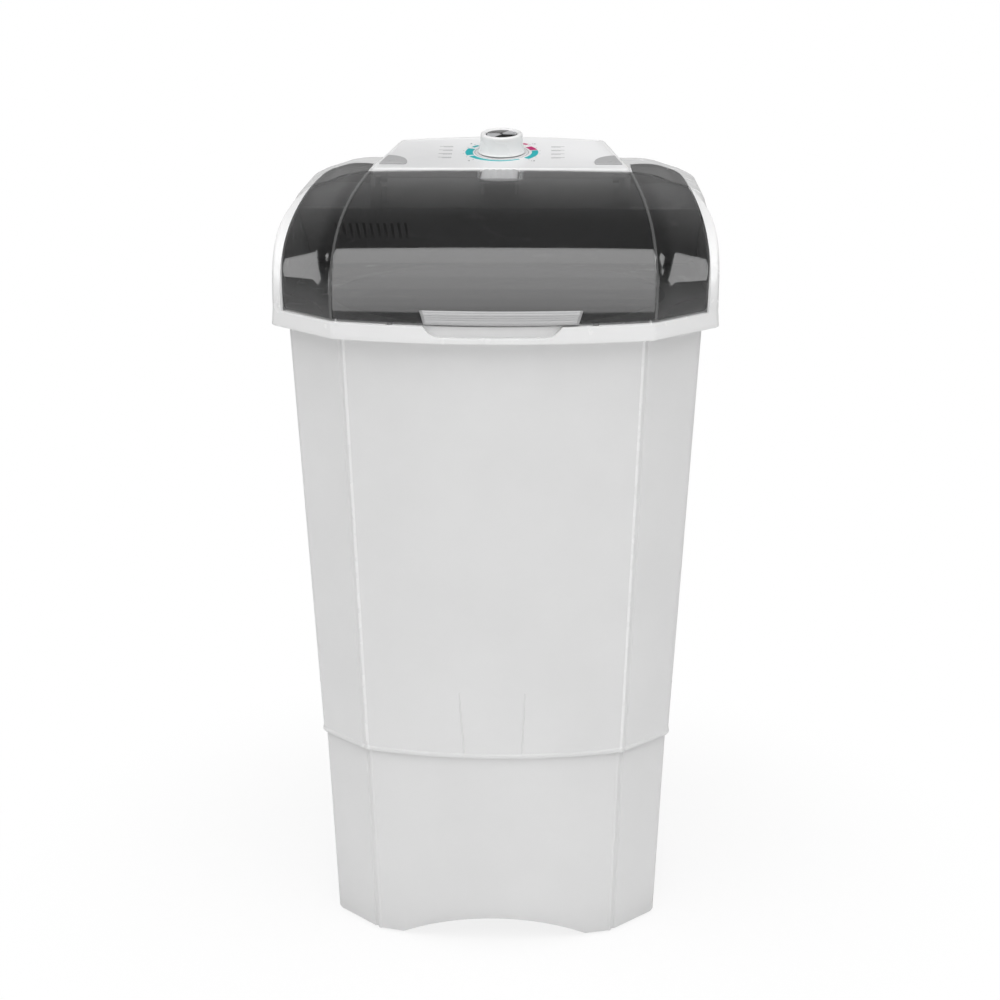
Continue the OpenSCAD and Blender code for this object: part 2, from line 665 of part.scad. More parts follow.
// Half-moon cap over the front corner of the panel
cap_r = 30;
cap_x = 153;
cap_back = 30;
cap_front = 20;
cap_h = 1.6;
module panel_cap() intersection() {
    on_panel(-cap_x, panel_front + cap_back) {
        cylinder(r = cap_r, h = cap_h);
        translate([-5, 0, 0]) cylinder(r = 3, h = cap_h + 0.6, $fn = 32);
    }
    translate([-rim_half_w, panel_front + cap_front, panel_foot_z]) cube([rim_half_w, 100, 60]);
    translate([0, 0, panel_foot_z]) linear_extrude(80) polygon(panel_outline(5));
}
module panel_cap_left() placed() color(grey_plastic) panel_cap();
module panel_cap_right() placed() color(grey_plastic) mirror([1, 0, 0]) panel_cap();

bracket_z = -panel_wall - boss_len - seat_gap - bracket_t;
module timer_bracket() placed() color(steel) on_panel() difference() {
    union() {
        translate([-boss_x, -9, bracket_z]) cube([2 * boss_x, 18, bracket_t]);
        for (side = [-1, 1]) translate([side * boss_x, 0, bracket_z]) cylinder(r = 9, h = bracket_t);
    }
    translate([0, 0, bracket_z - 1]) cylinder(r = stem_r + 2, h = bracket_t + 2);
    for (side = [-1, 1]) translate([side * boss_x, 0, bracket_z - 1]) cylinder(r = 1.7, h = bracket_t + 2);
}

timer_top = bracket_z - seat_gap;
module timer_body() placed() color("#d8d2c0") on_panel() difference() {
    union() {
        translate([0, 0, timer_top - timer_h]) cylinder(r = timer_r, h = timer_h);
        for (i = [-1 : 1]) translate([i * 9 - 3, timer_r - 3, timer_top - timer_h + 8]) cube([6, 12, 1]);
    }
    translate([0, 0, timer_top - 20]) cylinder(r = stem_r + run_fit, h = 30);
}

module timer_shaft() placed() color(steel) on_panel()
    translate([0, 0, timer_top - 19]) cylinder(r = stem_r, h = 19 - timer_top + knob_h - 8);

module timer_knob() placed() color(white_plastic) on_panel() difference() {
    rotate_extrude($fn = 96) polygon([
        [0, 0.8], [knob_r + 1.2, 0.8], [knob_r + 1.2, 1.8], [knob_r - 0.3, 4], [knob_top_r + 0.4, knob_h - 4],
        [knob_top_r - 0.2, knob_h - 1.8], [knob_top_r - 1.6, knob_h - 0.5], [knob_top_r - 3.2, knob_h],
        [knob_top_r - 4.6, knob_h - 0.6], [insert_r + 0.3, knob_h - 2.4], [insert_r + 0.3, knob_h - 5],
        [0, knob_h - 5]]);
    translate([0, 0, -1]) cylinder(r = stem_r + 0.02, h = knob_h - 6.9);
}

insert_r = 20;
module knob_insert() placed() color("#303030") on_panel() translate([0, 0, knob_h - 5 + seat_gap]) difference() {
    cylinder(r = insert_r, h = 2.2);
    for (a = [0, 180]) rotate([0, 0, a + 25]) translate([0, 0, 1.2])
        linear_extrude(4) polygon([[2, -1], [insert_r + 4, -9], [insert_r + 4, 9], [2, 1]]);
}

// Inlet spout in the notch of the lid

spout_back = panel_front - seat_gap;
spout_tip = spout_back - spout_len;
spout_wall = 2.2;
notch_clear = 2;
spout_low = spout_pipe_z - pipe_r - 2;
spout_top = roof_crease_z + panel_lip - 0.6;
spout_tip_top = roof_crease_z - 0.4;
spout_profile = [
    [spout_tip, spout_tip_top - 5], [spout_tip + 30, spout_tip_top - 8], [spout_back - 12, spout_low],
    [spout_back, spout_low], [spout_back, spout_top], [spout_tip + 1.5, spout_tip_top], [spout_tip, spout_tip_top - 1.5]];
module across(half_w, profile) translate([-half_w, 0, 0]) rotate([90, 0, 90]) linear_extrude(2 * half_w)
    polygon(profile);

module inlet_spout() placed() color(grey_plastic) difference() {
    intersection() {
        across(spout_half_w, spout_profile);
        translate([0, 0, spout_low - 1]) linear_extrude(80) polygon(soft_outline([
            [-spout_half_w, spout_tip], [spout_half_w, spout_tip], [spout_half_w, spout_back + 1],
            [-spout_half_w, spout_back + 1]], 6));
    }
    across(spout_half_w - spout_wall, [
        [spout_tip + 5, spout_tip_top - 3.5], [spout_tip + 5, spout_tip_top - 20], [spout_tip + 29, spout_tip_top - 20],
        [spout_tip + 29, spout_tip_top - 8 + spout_wall], [spout_back - 12, spout_low + spout_wall],
        [spout_back - spout_wall, spout_low + spout_wall], [spout_back - spout_wall, spout_top - 4]]);
    rod_y(0, spout_back - 6, spout_back + 1, spout_pipe_z, pipe_r + seat_gap);
}

// Tube from the inlet nozzle to the spout, inside the hood
tube_y = bulkhead_y + 34;
module inlet_tube() placed() color("#e8e8e0") {
    end_y = collar_half_w - frame_wall - 3 - 2 * seat_gap;
    rod_y(inlet_x, tube_y, end_y, inlet_z, pipe_r);
    translate([inlet_x, tube_y, inlet_z]) sphere(r = pipe_r);
    rod_x(0, inlet_x, tube_y, inlet_z, pipe_r);
    translate([0, tube_y, inlet_z]) sphere(r = pipe_r);
    translate([0, tube_y, inlet_z]) cylinder(r = pipe_r, h = spout_pipe_z - inlet_z);
    translate([0, tube_y, spout_pipe_z]) sphere(r = pipe_r);
    rod_y(0, spout_back - 4, tube_y, spout_pipe_z, pipe_r);
}

nozzle_bore_r = 8;
module inlet_nozzle() placed() color(grey_plastic) difference() {
    wall_y = collar_half_w - frame_wall - seat_gap;
    thread_start = collar_half_w + 1;
    union() {
        rod_y(inlet_x, wall_y - 3, wall_y, inlet_z, inlet_r + 5);
        rod_y(inlet_x, wall_y - 3, thread_start, inlet_z, inlet_r - neck_step);
        rod_y(inlet_x, thread_start, rear_reach, inlet_z, inlet_r);
    }
    rod_y(inlet_x, wall_y - 10, rear_reach + 1, inlet_z, nozzle_bore_r);
}

module cable_gland() placed() color(dark) difference() {
    union() {
        rod_y(gland_x, collar_half_w - frame_wall - 6, collar_half_w + 12, gland_z, 7.5);
        rod_y(gland_x, collar_half_w + seat_gap, collar_half_w + 3, gland_z, 11);
        rod_y(gland_x, collar_half_w - frame_wall - 5, collar_half_w - frame_wall - seat_gap, gland_z, 10.5);
    }
    rod_y(gland_x, collar_half_w - 20, collar_half_w + 20, gland_z, cord_bore_r);
}

// Lid and its hinge

lug_w = 8;
lug_r = 5;
post_w = 6.5;
lid_edge_x = edge_x - lid_gap;
lid_edge_curve = [
    [edge_curve[0][0] - 3, edge_curve[0][1] + 4, lid_z],
    edge_curve[1] - [lid_gap, 0, 0],
    edge_curve[2] - [lid_gap, 0, 0],
    [lid_edge_x, lid_rear, shoulder_z + sqrt(pow(shoulder_r, 2) - pow(lid_edge_x - shoulder_x, 2))]];

// Point of the bulged middle part of the lid, f being its share of the way from the middle to the crease.
function lid_middle(f, t) =
    let (c = bezier(crease_curve, t), m = bezier(middle_curve, t))
    [f * c[0], mix(m[1], c[1], f * f), mix(m[2], c[2], f * f)];
function lid_half_row(t) =
    let (edge = bezier(lid_edge_curve, t), c = bezier(crease_curve, t))
    concat([edge, (edge + c) / 2], soft_corner(edge, c, lid_middle(1 - 2 * crease_soft / c[0], t), crease_soft),
        [for (f = [0.82, 0.66, 0.5, 0.34, 0.17]) lid_middle(f, t)]);
function lid_row(t) =
    let (half = lid_half_row(t))
    concat(half, [lid_middle(0, t)], [for (i = [len(half) - 1 : -1 : 0]) [-half[i][0], half[i][1], half[i][2]]]);
lid_grid = [for (i = [0 : lid_rows]) lid_row(i / lid_rows)];
lid_inner_free = shifted_grid(lid_grid, lid_wall);
lid_inner = [for (i = [0 : lid_rows]) [for (p = lid_inner_free[i])
    [p[0], i == lid_rows ? lid_rear : p[1], i == 0 ? lid_z : p[2]]]];

module lid_shell() placed() color(smoke, 0.6) difference() {
    union() {
        difference() {
            plate(lid_grid, lid_inner);
            translate([0, 0, spout_low]) linear_extrude(100) polygon(soft_outline([
                [-spout_half_w - notch_clear, spout_tip - notch_clear], [spout_half_w + notch_clear, spout_tip - notch_clear],
                [spout_half_w + notch_clear, panel_front], [-spout_half_w - notch_clear, panel_front]], 7));
        }
        for (side = [-1, 1]) {
            rod_x(side * pin_x - lug_w / 2, side * pin_x + lug_w / 2, hinge_y, hinge_z, lug_r);
            translate([side * pin_x - lug_w / 2, hinge_y - lug_r, hinge_z])
                cube([lug_w, 2 * lug_r - 1, roof_crease_z - hinge_z - lid_wall + 1]);
        }
    }
    rod_x(-pin_x - lug_w, pin_x + lug_w, hinge_y, hinge_z, pin_r + run_fit);
}

function handle_row(t) =
    let (c = bezier(crease_curve, t), half = handle_w / 2 - 5 * (1 - t / handle_t))
    [for (k = [0 : 12]) lid_middle(mix(handle_x + half, handle_x - half, k / 12) / c[0], t)];
handle_t = handle_h / (3 * (crease_curve[1][2] - crease_curve[0][2])) * 1.05;
handle_grid = [for (i = [0 : 2]) handle_row(handle_t * i / 2)];
function handle_face(d) = let (g = shifted_grid(handle_grid, -d))
    [for (i = [0 : 2]) [for (p = g[i]) [p[0], p[1], i == 0 ? lid_z : p[2]]]];
module lid_handle() placed() color(grey_plastic) plate(handle_face(handle_out), handle_face(seat_gap));

buffer_x = 120;
module lid_buffers() placed() color(dark) for (side = [-1, 1])
    translate([side * buffer_x, -collar_half_w - front_bulge * (1 - pow(buffer_x / collar_crease, 2)) + 7, frame_top])
        cylinder(r = 3.5, h = lid_seat_gap - seat_gap);

module hinge_pins() placed() color(steel) for (side = [-1, 1])
    rod_x(side * pin_x - (side > 0 ? lug_w / 2 : lug_w / 2 + post_w + 1), side * pin_x + (side < 0 ? lug_w / 2 : lug_w / 2 + post_w + 1),
        hinge_y, hinge_z, pin_r);

module hinge_bracket() {
    x = pin_x + lug_w / 2 + 0.5;
    post_low = hinge_z - 26;
    difference() {
        union() {
            rod_x(x, x + post_w, hinge_y, hinge_z, 3.8);
            translate([x, hinge_y - 3.8, post_low]) cube([post_w, 7.2, hinge_z - post_low]);
            translate([x, hinge_y - 3.8, post_low]) cube([post_w, spout_back - hinge_y + 3.8, 8]);
            translate([x - 6, spout_back - 3, post_low - 8]) cube([post_w + 12, 3, 22]);
        }
        rod_x(x - 1, x + post_w + 1, hinge_y, hinge_z, pin_r + 0.02);
    }
}
module hinge_bracket_right() placed() color(dark) hinge_bracket();
module hinge_bracket_left() placed() color(dark) mirror([1, 0, 0]) hinge_bracket();

// Agitator, shaft and bearings

flange_h = 6;
housing_r = 22;
housing_top = floor_under - seat_gap;
housing_flange_top = floor_under - boss_h - seat_gap;
housing_flange_z = housing_flange_top - flange_h;
housing_foot = belt_z + 29;
bush_r = 12;
bush_h = 18;
disc_h = 5;
hub_rise = 46;
hub_top = tub_floor_z + hub_rise;
agitator_z = tub_floor_z + 3;

module bearing_housing() placed() color("#8c9196") difference() {
    union() {
        translate([0, 0, housing_foot]) cylinder(r = housing_r, h = housing_top - housing_foot);
        translate([0, 0, housing_flange_z]) cylinder(r = bolt_circle + 10, h = flange_h);
    }
    translate([0, 0, housing_foot - 1]) cylinder(r = bush_r, h = 200);
    for (a = [45 : 90 : 359]) rotate([0, 0, a]) translate([bolt_circle, 0, housing_flange_z - 1])
        cylinder(r = bolt_r + 0.3, h = flange_h + 2);
}

module shaft_bushes() placed() color("#b08d57")
    for (z = [housing_foot, housing_flange_z - bush_h]) translate([0, 0, z]) difference() {
        cylinder(r = bush_r - 0.02, h = bush_h);
        translate([0, 0, -1]) cylinder(r = shaft_r + run_fit, h = bush_h + 2);
    }

module shaft_seal() placed() color(dark) translate([0, 0, floor_under + 0.2]) difference() {
    union() {
        cylinder(r = seal_r - 0.1, h = tub_wall);
        translate([0, 0, tub_wall]) cylinder(r = shaft_r + 3, h = 1.4);
    }
    translate([0, 0, -1]) cylinder(r = shaft_r + 0.08, h = 20);
}

module housing_bolts() placed() color(steel) for (a = [45 : 90 : 359])
    rotate([0, 0, a]) translate([bolt_circle, 0, 0]) {
        translate([0, 0, plate_z - 4.3]) cylinder(r = 5.5, h = 4, $fn = 6);
        translate([0, 0, plate_z - 0.5]) cylinder(r = bolt_r, h = floor_under - plate_z - 2);
    }

plate_t = 3;
plate_z = housing_flange_z - seat_gap - plate_t;
capacitor_x = -84;
capacitor_y = 52;
capacitor_r = 17.5;
motor_bolt_circle = motor_r - 8;
module drive_plate() placed() color("#9aa0a4") difference() {
    translate([0, 0, plate_z]) linear_extrude(plate_t) hull() {
        circle(r = bolt_circle + 14);
        translate([belt_centres, 0]) circle(r = motor_r + 4);
        translate([capacitor_x, capacitor_y]) circle(r = capacitor_r + 5);
    }
    translate([0, 0, plate_z - 1]) cylinder(r = housing_r + seat_gap, h = plate_t + 2);
    translate([belt_centres, 0, plate_z - 1]) cylinder(r = 20, h = plate_t + 2);
    for (a = [45 : 90 : 359]) {
        rotate([0, 0, a]) translate([bolt_circle, 0, plate_z - 1]) cylinder(r = bolt_r + 0.3, h = plate_t + 2);
        translate([belt_centres, 0, plate_z - 1]) rotate([0, 0, a]) translate([motor_bolt_circle, 0, 0])
            cylinder(r = 2.9, h = plate_t + 2);
    }
}

shaft_foot = belt_z - 20;
module agitator_shaft() placed() color(steel) translate([0, 0, shaft_foot])
    cylinder(r = shaft_r, h = hub_top - 1 - shaft_foot);

module agitator() placed() color("#f4f4f4") difference() {
    union() {
        rotate_extrude($fn = 120) polygon([
            [0, agitator_z], [agitator_r - 5, agitator_z], [agitator_r, agitator_z + 3], [agitator_r - 1.5, agitator_z + disc_h],
            [agitator_r * 0.72, agitator_z + disc_h + 2], [agitator_r * 0.5, agitator_z + disc_h + 7],
            [agitator_r * 0.33, agitator_z + disc_h + 16], [agitator_r * 0.22, hub_top - 10], [26, hub_top - 3],
            [24, hub_top], [0, hub_top]]);
        for (i = [0 : vanes - 1]) rotate([0, 0, i * 360 / vanes + 18]) hull() {
            translate([34, 0, agitator_z + 4]) cylinder(r = 8, h = vane_h * 0.7, $fn = 20);
            translate([34, 0, agitator_z + 4]) cylinder(r = 4, h = vane_h * 0.85, $fn = 20);
            translate([agitator_r - 18, 0, agitator_z + 2]) cylinder(r = 6, h = 12, $fn = 20);
            translate([agitator_r - 20, 0, agitator_z + 2]) cylinder(r = 3, h = 18, $fn = 20);
        }
    }
    translate([0, 0, agitator_z - 1]) cylinder(r = shaft_r + 0.02, h = hub_top - agitator_z + 2);
    // Hollow underside
    translate([0, 0, agitator_z - 1]) rotate_extrude($fn = 90) polygon([
        [agitator_r * 0.215, 0], [agitator_r * 0.924, 0], [agitator_r * 0.924, 3], [agitator_r * 0.5, 6],
        [agitator_r * 0.253, 14], [agitator_r * 0.215, 14]]);
}

module agitator_cap() placed() color(grey_plastic) translate([0, 0, hub_top + seat_gap])
    rotate_extrude($fn = 64) polygon([[0, 0], [23, 0], [22.5, 2.5], [19, 5], [11, 7], [0, 8]]);

// Pulleys and belt

groove_gap = 0.4;
belt_foot_w = belt_w - 3;
rim_out = 1.8;

// Half profile of a V pulley with its groove on the belt's middle plane
module pulley(pitch_r, bore_r, hub_r, hub_low, hub_high) difference() {
    back_r = pitch_r + belt_t / 2;
    foot_r_in = pitch_r - belt_t / 2;
    half_back = belt_w / 2 + groove_gap;
    half_foot = belt_foot_w / 2 + groove_gap;
    half_rim = half_back + rim_out;
    web = pitch_r > 50 ? 2.5 : half_rim;
    web_r = pitch_r > 50 ? foot_r_in - 6 : hub_r;
    rotate_extrude($fn = 120) polygon([
        [0, belt_z + hub_low], [hub_r, belt_z + hub_low], [hub_r, belt_z - web], [web_r, belt_z - web],
        [foot_r_in - 3, belt_z - half_rim], [back_r + 1, belt_z - half_rim], [back_r + 1, belt_z - half_back - 0.3],
        [foot_r_in - groove_gap, belt_z - half_foot], [foot_r_in - groove_gap, belt_z + half_foot],
        [back_r + 1, belt_z + half_back + 0.3], [back_r + 1, belt_z + half_rim], [foot_r_in - 3, belt_z + half_rim],
        [web_r, belt_z + web], [hub_r, belt_z + web], [hub_r, belt_z + hub_high], [0, belt_z + hub_high]]);
    translate([0, 0, belt_z - 60]) cylinder(r = bore_r, h = 120);
}

hub_h = 16;
module driven_pulley() placed() color("#cfd2d4") difference() {
    pulley(driven_r, shaft_r + 0.02, 18, -hub_h, hub_h + 12);
    for (a = [0 : 60 : 359]) rotate([0, 0, a]) translate([driven_r * 0.52, 0, belt_z - 20]) cylinder(r = driven_r * 0.15, h = 40);
}

module pulley_clip() placed() color(steel) translate([0, 0, shaft_foot + 1]) difference() {
    cylinder(r = shaft_r + 4, h = 2.6);
    translate([0, 0, -1]) cylinder(r = shaft_r + 0.02, h = 5);
    translate([0, -2, -1]) cube([20, 4, 6]);
}

belt_steps = 20;
// Angle at which the belt leaves the pulleys
wrap = acos((driven_r - driver_r) / belt_centres);
belt_ring_places = concat(
    [for (i = [0 : belt_steps]) let (a = mix(wrap, 360 - wrap, i / belt_steps)) [0, driven_r, a]],
    [for (i = [0 : belt_steps / 2]) let (a = mix(-wrap, wrap, i / belt_steps * 2)) [belt_centres, driver_r, a]]);
module v_belt() placed() color(dark) {
    // Four corners of the belt's section at each place along its path
    rings = [for (p = belt_ring_places)
        let (u = [cos(p[2]), sin(p[2]), 0], lift = 1 / cos((360 - 2 * wrap) / belt_steps / 2))
        let (back = (p[1] + belt_t / 2) * u, inside = (p[1] - belt_t / 2) * lift * u)
        let (o = [p[0], 0, belt_z])
        [o + inside + [0, 0, belt_foot_w / 2], o + back + [0, 0, belt_w / 2],
         o + back - [0, 0, belt_w / 2], o + inside - [0, 0, belt_foot_w / 2]]];
    loft(rings, tube = true);
}

// Motor, hung from the drive plate

motor_top = plate_z - seat_gap;
motor_foot = motor_top - motor_h;
motor_bore_top = motor_top - 10;
motor_shaft_foot = belt_z - 26;
end_bell_h = 22;
module at_motor(z) translate([belt_centres, 0, z]) children();

module motor_housing() placed() color("#6f767c") difference() {
    union() {
        at_motor(motor_foot + end_bell_h) cylinder(r = motor_r - 4, h = motor_h - 2 * end_bell_h);
        at_motor(motor_foot) cylinder(r = motor_r, h = end_bell_h);
        at_motor(motor_top - end_bell_h) cylinder(r = motor_r, h = end_bell_h);
        at_motor(motor_foot - 2) cylinder(r = 16, h = 4);
        at_motor(motor_top - 1) cylinder(r = 18, h = 3);
    }
    at_motor(motor_foot - 3) cylinder(r = motor_shaft_r + run_fit, h = motor_bore_top - motor_foot + 4);
    for (a = [45 : 90 : 359]) at_motor(motor_top - 14) rotate([0, 0, a]) translate([motor_bolt_circle, 0, 0])
        cylinder(r = 2.6, h = 20);
    // Cooling slots in both end bells
    for (z = [motor_foot + 6, motor_top - end_bell_h + 6]) for (a = [0 : 30 : 359])
        at_motor(z) rotate([0, 0, a]) translate([motor_r - 8, -2, 0]) cube([10, 4, end_bell_h - 12]);
}

module motor_bolts() placed() color(steel) for (a = [45 : 90 : 359])
    at_motor(0) rotate([0, 0, a]) translate([motor_bolt_circle, 0, 0]) {
        translate([0, 0, plate_z + plate_t + seat_gap]) cylinder(r = 4.5, h = 3.2, $fn = 6);
        translate([0, 0, motor_top - 13]) cylinder(r = 2.5, h = plate_z + plate_t + 0.5 - motor_top + 13);
    }

module motor_shaft() placed() color(steel) at_motor(motor_shaft_foot)
    cylinder(r = motor_shaft_r, h = motor_bore_top - 1 - motor_shaft_foot);

module motor_pulley() placed() color("#cfd2d4") at_motor(0)
    pulley(driver_r, motor_shaft_r + 0.02, 12, -9, 9);

fan_blades = 7;
fan_r = 34;
module motor_fan() placed() color(white_plastic) at_motor(motor_shaft_foot + 1) difference() {
    union() {
        cylinder(r = 11, h = 14);
        cylinder(r = fan_r, h = 1.6);
        for (i = [0 : fan_blades - 1]) rotate([0, 0, i * 360 / fan_blades]) translate([9, -1, 0]) cube([fan_r - 10, 2, 10]);
    }
    translate([0, 0, -1]) cylinder(r = motor_shaft_r + 0.02, h = 20);
}

capacitor_h = 62;
module capacitor() placed() color("#dfe3e6") translate([capacitor_x, capacitor_y, plate_z - seat_gap - capacitor_h]) {
    translate([0, 0, 3]) cylinder(r = capacitor_r, h = capacitor_h - 3);
    cylinder(r1 = capacitor_r - 2, r2 = capacitor_r, h = 3);
    for (x = [-5, 5]) translate([x - 3, -0.5, -9]) cube([6, 1, 10]);
}
module capacitor_strap() placed() color(steel) translate([capacitor_x, capacitor_y, plate_z - seat_gap - 24]) difference() {
    union() {
        cylinder(r = capacitor_r + 1.8, h = 10);
        translate([-capacitor_r - 12, -5, 0]) cube([12, 10, 10]);
        translate([-capacitor_r - 12, -5, 0]) cube([2, 10, 24]);
    }
    translate([0, 0, -1]) cylinder(r = capacitor_r + seat_gap, h = 14);
}

// Wiring from the timer down the rear corner to the motor

loom_r = 4;
timer_foot_z = panel_z(dial_y) + timer_top - timer_h;
loom_path = [
    [14, dial_y + 38, timer_foot_z + 5], [24, dial_y + 50, timer_foot_z - 7], [60, dial_y + 65, inlet_z - 8],
    [110, dial_y + 76, inlet_z - 20], [155, dial_y + 82, inlet_z - 28], [loom_x - 16, loom_y - 1, frame_top + 39],
    [loom_x - 3, loom_y, frame_top + 22], [loom_x, loom_y, frame_top + 2], [loom_x, loom_y, rim_z - 18],
    for (z = [rim_z - 80, rim_z - 200, rim_z - 340, seam_z + 70])
        let (half_w = mix(seam_half_w, top_half_w, (z - seam_z) / (rim_z - seam_z))) [half_w - 50, half_w - 26, z],
    [belt_centres + 44, 180, seam_z + 28], [belt_centres + 37, 155, seam_z + 10], [belt_centres + 27, 125, seam_z + 2],
    [belt_centres + 17, 95, seam_z - 2], [belt_centres + 11, 72, seam_z - 4]];
function loom_dir(i) = unit(loom_path[min(i + 1, len(loom_path) - 1)] - loom_path[max(i - 1, 0)]);
function loom_ring(i) =
    let (d = loom_dir(i), side = unit(cross(d, [1, 0.3, 0])), up = cross(side, d))
    [for (k = [0 : 7]) loom_path[i] + loom_r * (cos(k * 45) * side - sin(k * 45) * up)];
module wiring_loom() placed() color(dark) loft([for (i = [0 : len(loom_path) - 1]) loom_ring(i)]);

base_skirt();
rubber_feet();
cabinet_shell();
wash_tub();
top_frame();
frame_arm_left();
frame_arm_right();
rear_hood();
tub_deck();
splash_chute();
control_panel();
panel_cap_left();
panel_cap_right();
inlet_spout();
inlet_tube();
inlet_nozzle();
timer_bracket();
timer_body();
timer_shaft();
timer_knob();
knob_insert();
hinge_bracket_left();
hinge_bracket_right();
hinge_pins();
lid_shell();
lid_handle();
lid_buffers();
cable_gland();
wiring_loom();
drain_pipe();
drain_grate();
bearing_housing();
shaft_bushes();
shaft_seal();
housing_bolts();
drive_plate();
agitator_shaft();
agitator();
agitator_cap();
driven_pulley();
pulley_clip();
v_belt();
motor_housing();
motor_bolts();
motor_shaft();
motor_pulley();
motor_fan();
capacitor();
capacitor_strap();
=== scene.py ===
# Looks for the tub washing machine. Built round the CAD frame, in metres; points below are in millimetres.
import math

import bmesh
import bpy
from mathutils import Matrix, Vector


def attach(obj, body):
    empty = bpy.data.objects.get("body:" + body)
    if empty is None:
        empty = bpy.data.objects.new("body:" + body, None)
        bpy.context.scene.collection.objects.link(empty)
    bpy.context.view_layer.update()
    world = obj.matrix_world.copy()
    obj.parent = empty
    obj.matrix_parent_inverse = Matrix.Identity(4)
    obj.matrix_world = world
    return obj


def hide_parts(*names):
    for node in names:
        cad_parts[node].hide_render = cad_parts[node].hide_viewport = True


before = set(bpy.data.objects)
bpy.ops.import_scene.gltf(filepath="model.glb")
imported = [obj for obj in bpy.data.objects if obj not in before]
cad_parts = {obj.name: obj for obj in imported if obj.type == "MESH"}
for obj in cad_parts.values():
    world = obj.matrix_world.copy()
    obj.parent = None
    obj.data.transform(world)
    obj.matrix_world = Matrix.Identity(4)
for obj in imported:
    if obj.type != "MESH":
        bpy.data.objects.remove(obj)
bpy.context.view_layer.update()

MM = 0.001
SHIFT_Y = 3.5

# Driving values, the same as in the CAD source
FOOT_W, FOOT_CREASE = 208, 151
SEAM_W, SEAM_CREASE = 222, 162
TOP_W, TOP_CREASE = 250, 180
BULGE, FOOT_BULGE = 29, 24
REAR_CUT = 35
SEAM_Z, WALL, SEAM_LAP = 260, 3, 12
RIM_Z, COLLAR_H = 798, 19.5
FRAME_TOP = RIM_Z + COLLAR_H
FRAME_WALL, LEDGE = 3.5, 11
COLLAR_W, COLLAR_CREASE = 268.5, 188.5
SHOULDER_X, SHOULDER_Z, SHOULDER_R = 228.5, 897, 40
SLOPE = math.tan(math.radians(14))
ROOF_X, ROOF_Z, ROOF_CROWN = 170, 952.81, 1.7
HOOD_FRONT = 58
LID_Z, LID_WALL = 820, 3
DECK_Z, DECK_TOP, MOUTH_R = 801, 804.5, 214
PANEL_F, PANEL_R, PANEL_D, PANEL_BOW = 169, 138, 140, 18
PANEL_Y, PANEL_Z0, PANEL_FOOT = 60, 955.5, 943.81
PANEL_TILT = math.radians(8.6)
DIAL_Y = 140
SPOUT_BACK, SPOUT_TIP = 59.7, -10.3
DRAIN_X, DRAIN_Z, DRAIN_R = -50, 280.2, 14.6
HINGE_X, HINGE_Y, HINGE_Z = 150, 46.5, 944.51
CAP_X, CAP_R = 153, 30
CABINET_TOP = 800.7
RIB_LENGTH, RIB_SIZE = 84, 0.9
# The spout is a little slimmer than in the CAD source, as the photograph shows it
SPOUT_HALF = 23.9


def set_values(thing, **values):
    for key, value in values.items():
        setattr(thing, key, value)
    return thing


def add_object(name, data):
    obj = bpy.data.objects.new(name, data)
    bpy.context.collection.objects.link(obj)
    return obj


# Camera, at the photograph's angle
def add_camera():
    data = set_values(bpy.data.cameras.new("camera"), lens=74.33, sensor_width=36.0, clip_end=50.0)
    camera = add_object("camera", data)
    camera.location = (0.0694, -2.6343 + SHIFT_Y * MM, 1.2944)
    camera.rotation_euler = (math.pi / 2 - 0.28427, 0.0, 0.0258)
    bpy.context.scene.camera = camera


# Small helpers for points and curves
def mix(a, b, t):
    return a + (b - a) * t


def unit2(v):
    n = math.hypot(v[0], v[1])
    return (v[0] / n, v[1] / n)


def bezier(c, t):
    k = ((1 - t) ** 3, 3 * t * (1 - t) ** 2, 3 * t * t * (1 - t), t ** 3)
    return Vector([sum(k[i] * c[i][a] for i in range(4)) for a in range(3)])


# Point at t on the curve from a to b that bends towards c
def bend(a, c, b, t):
    return tuple(a[i] * (1 - t) ** 2 + c[i] * 2 * t * (1 - t) + b[i] * t * t for i in range(len(a)))


def at(p):
    return Vector((p[0] * MM, (p[1] + SHIFT_Y) * MM, p[2] * MM))


# Points with their left and right swapped
def flip(points):
    return [(-p[0], *p[1:]) for p in points]


# Materials
def feed(node, values):
    for name, value in values.items():
        node.inputs[name].default_value = value
    return node


# Output of a node that maps the range from low to high to another range
def map_range(tree, source, low, high, to_low, to_high):
    node = feed(tree.nodes.new("ShaderNodeMapRange"),
                {"From Min": low, "From Max": high, "To Min": to_low, "To Max": to_high})
    tree.links.new(source, node.inputs["Value"])
    return node.outputs["Result"]


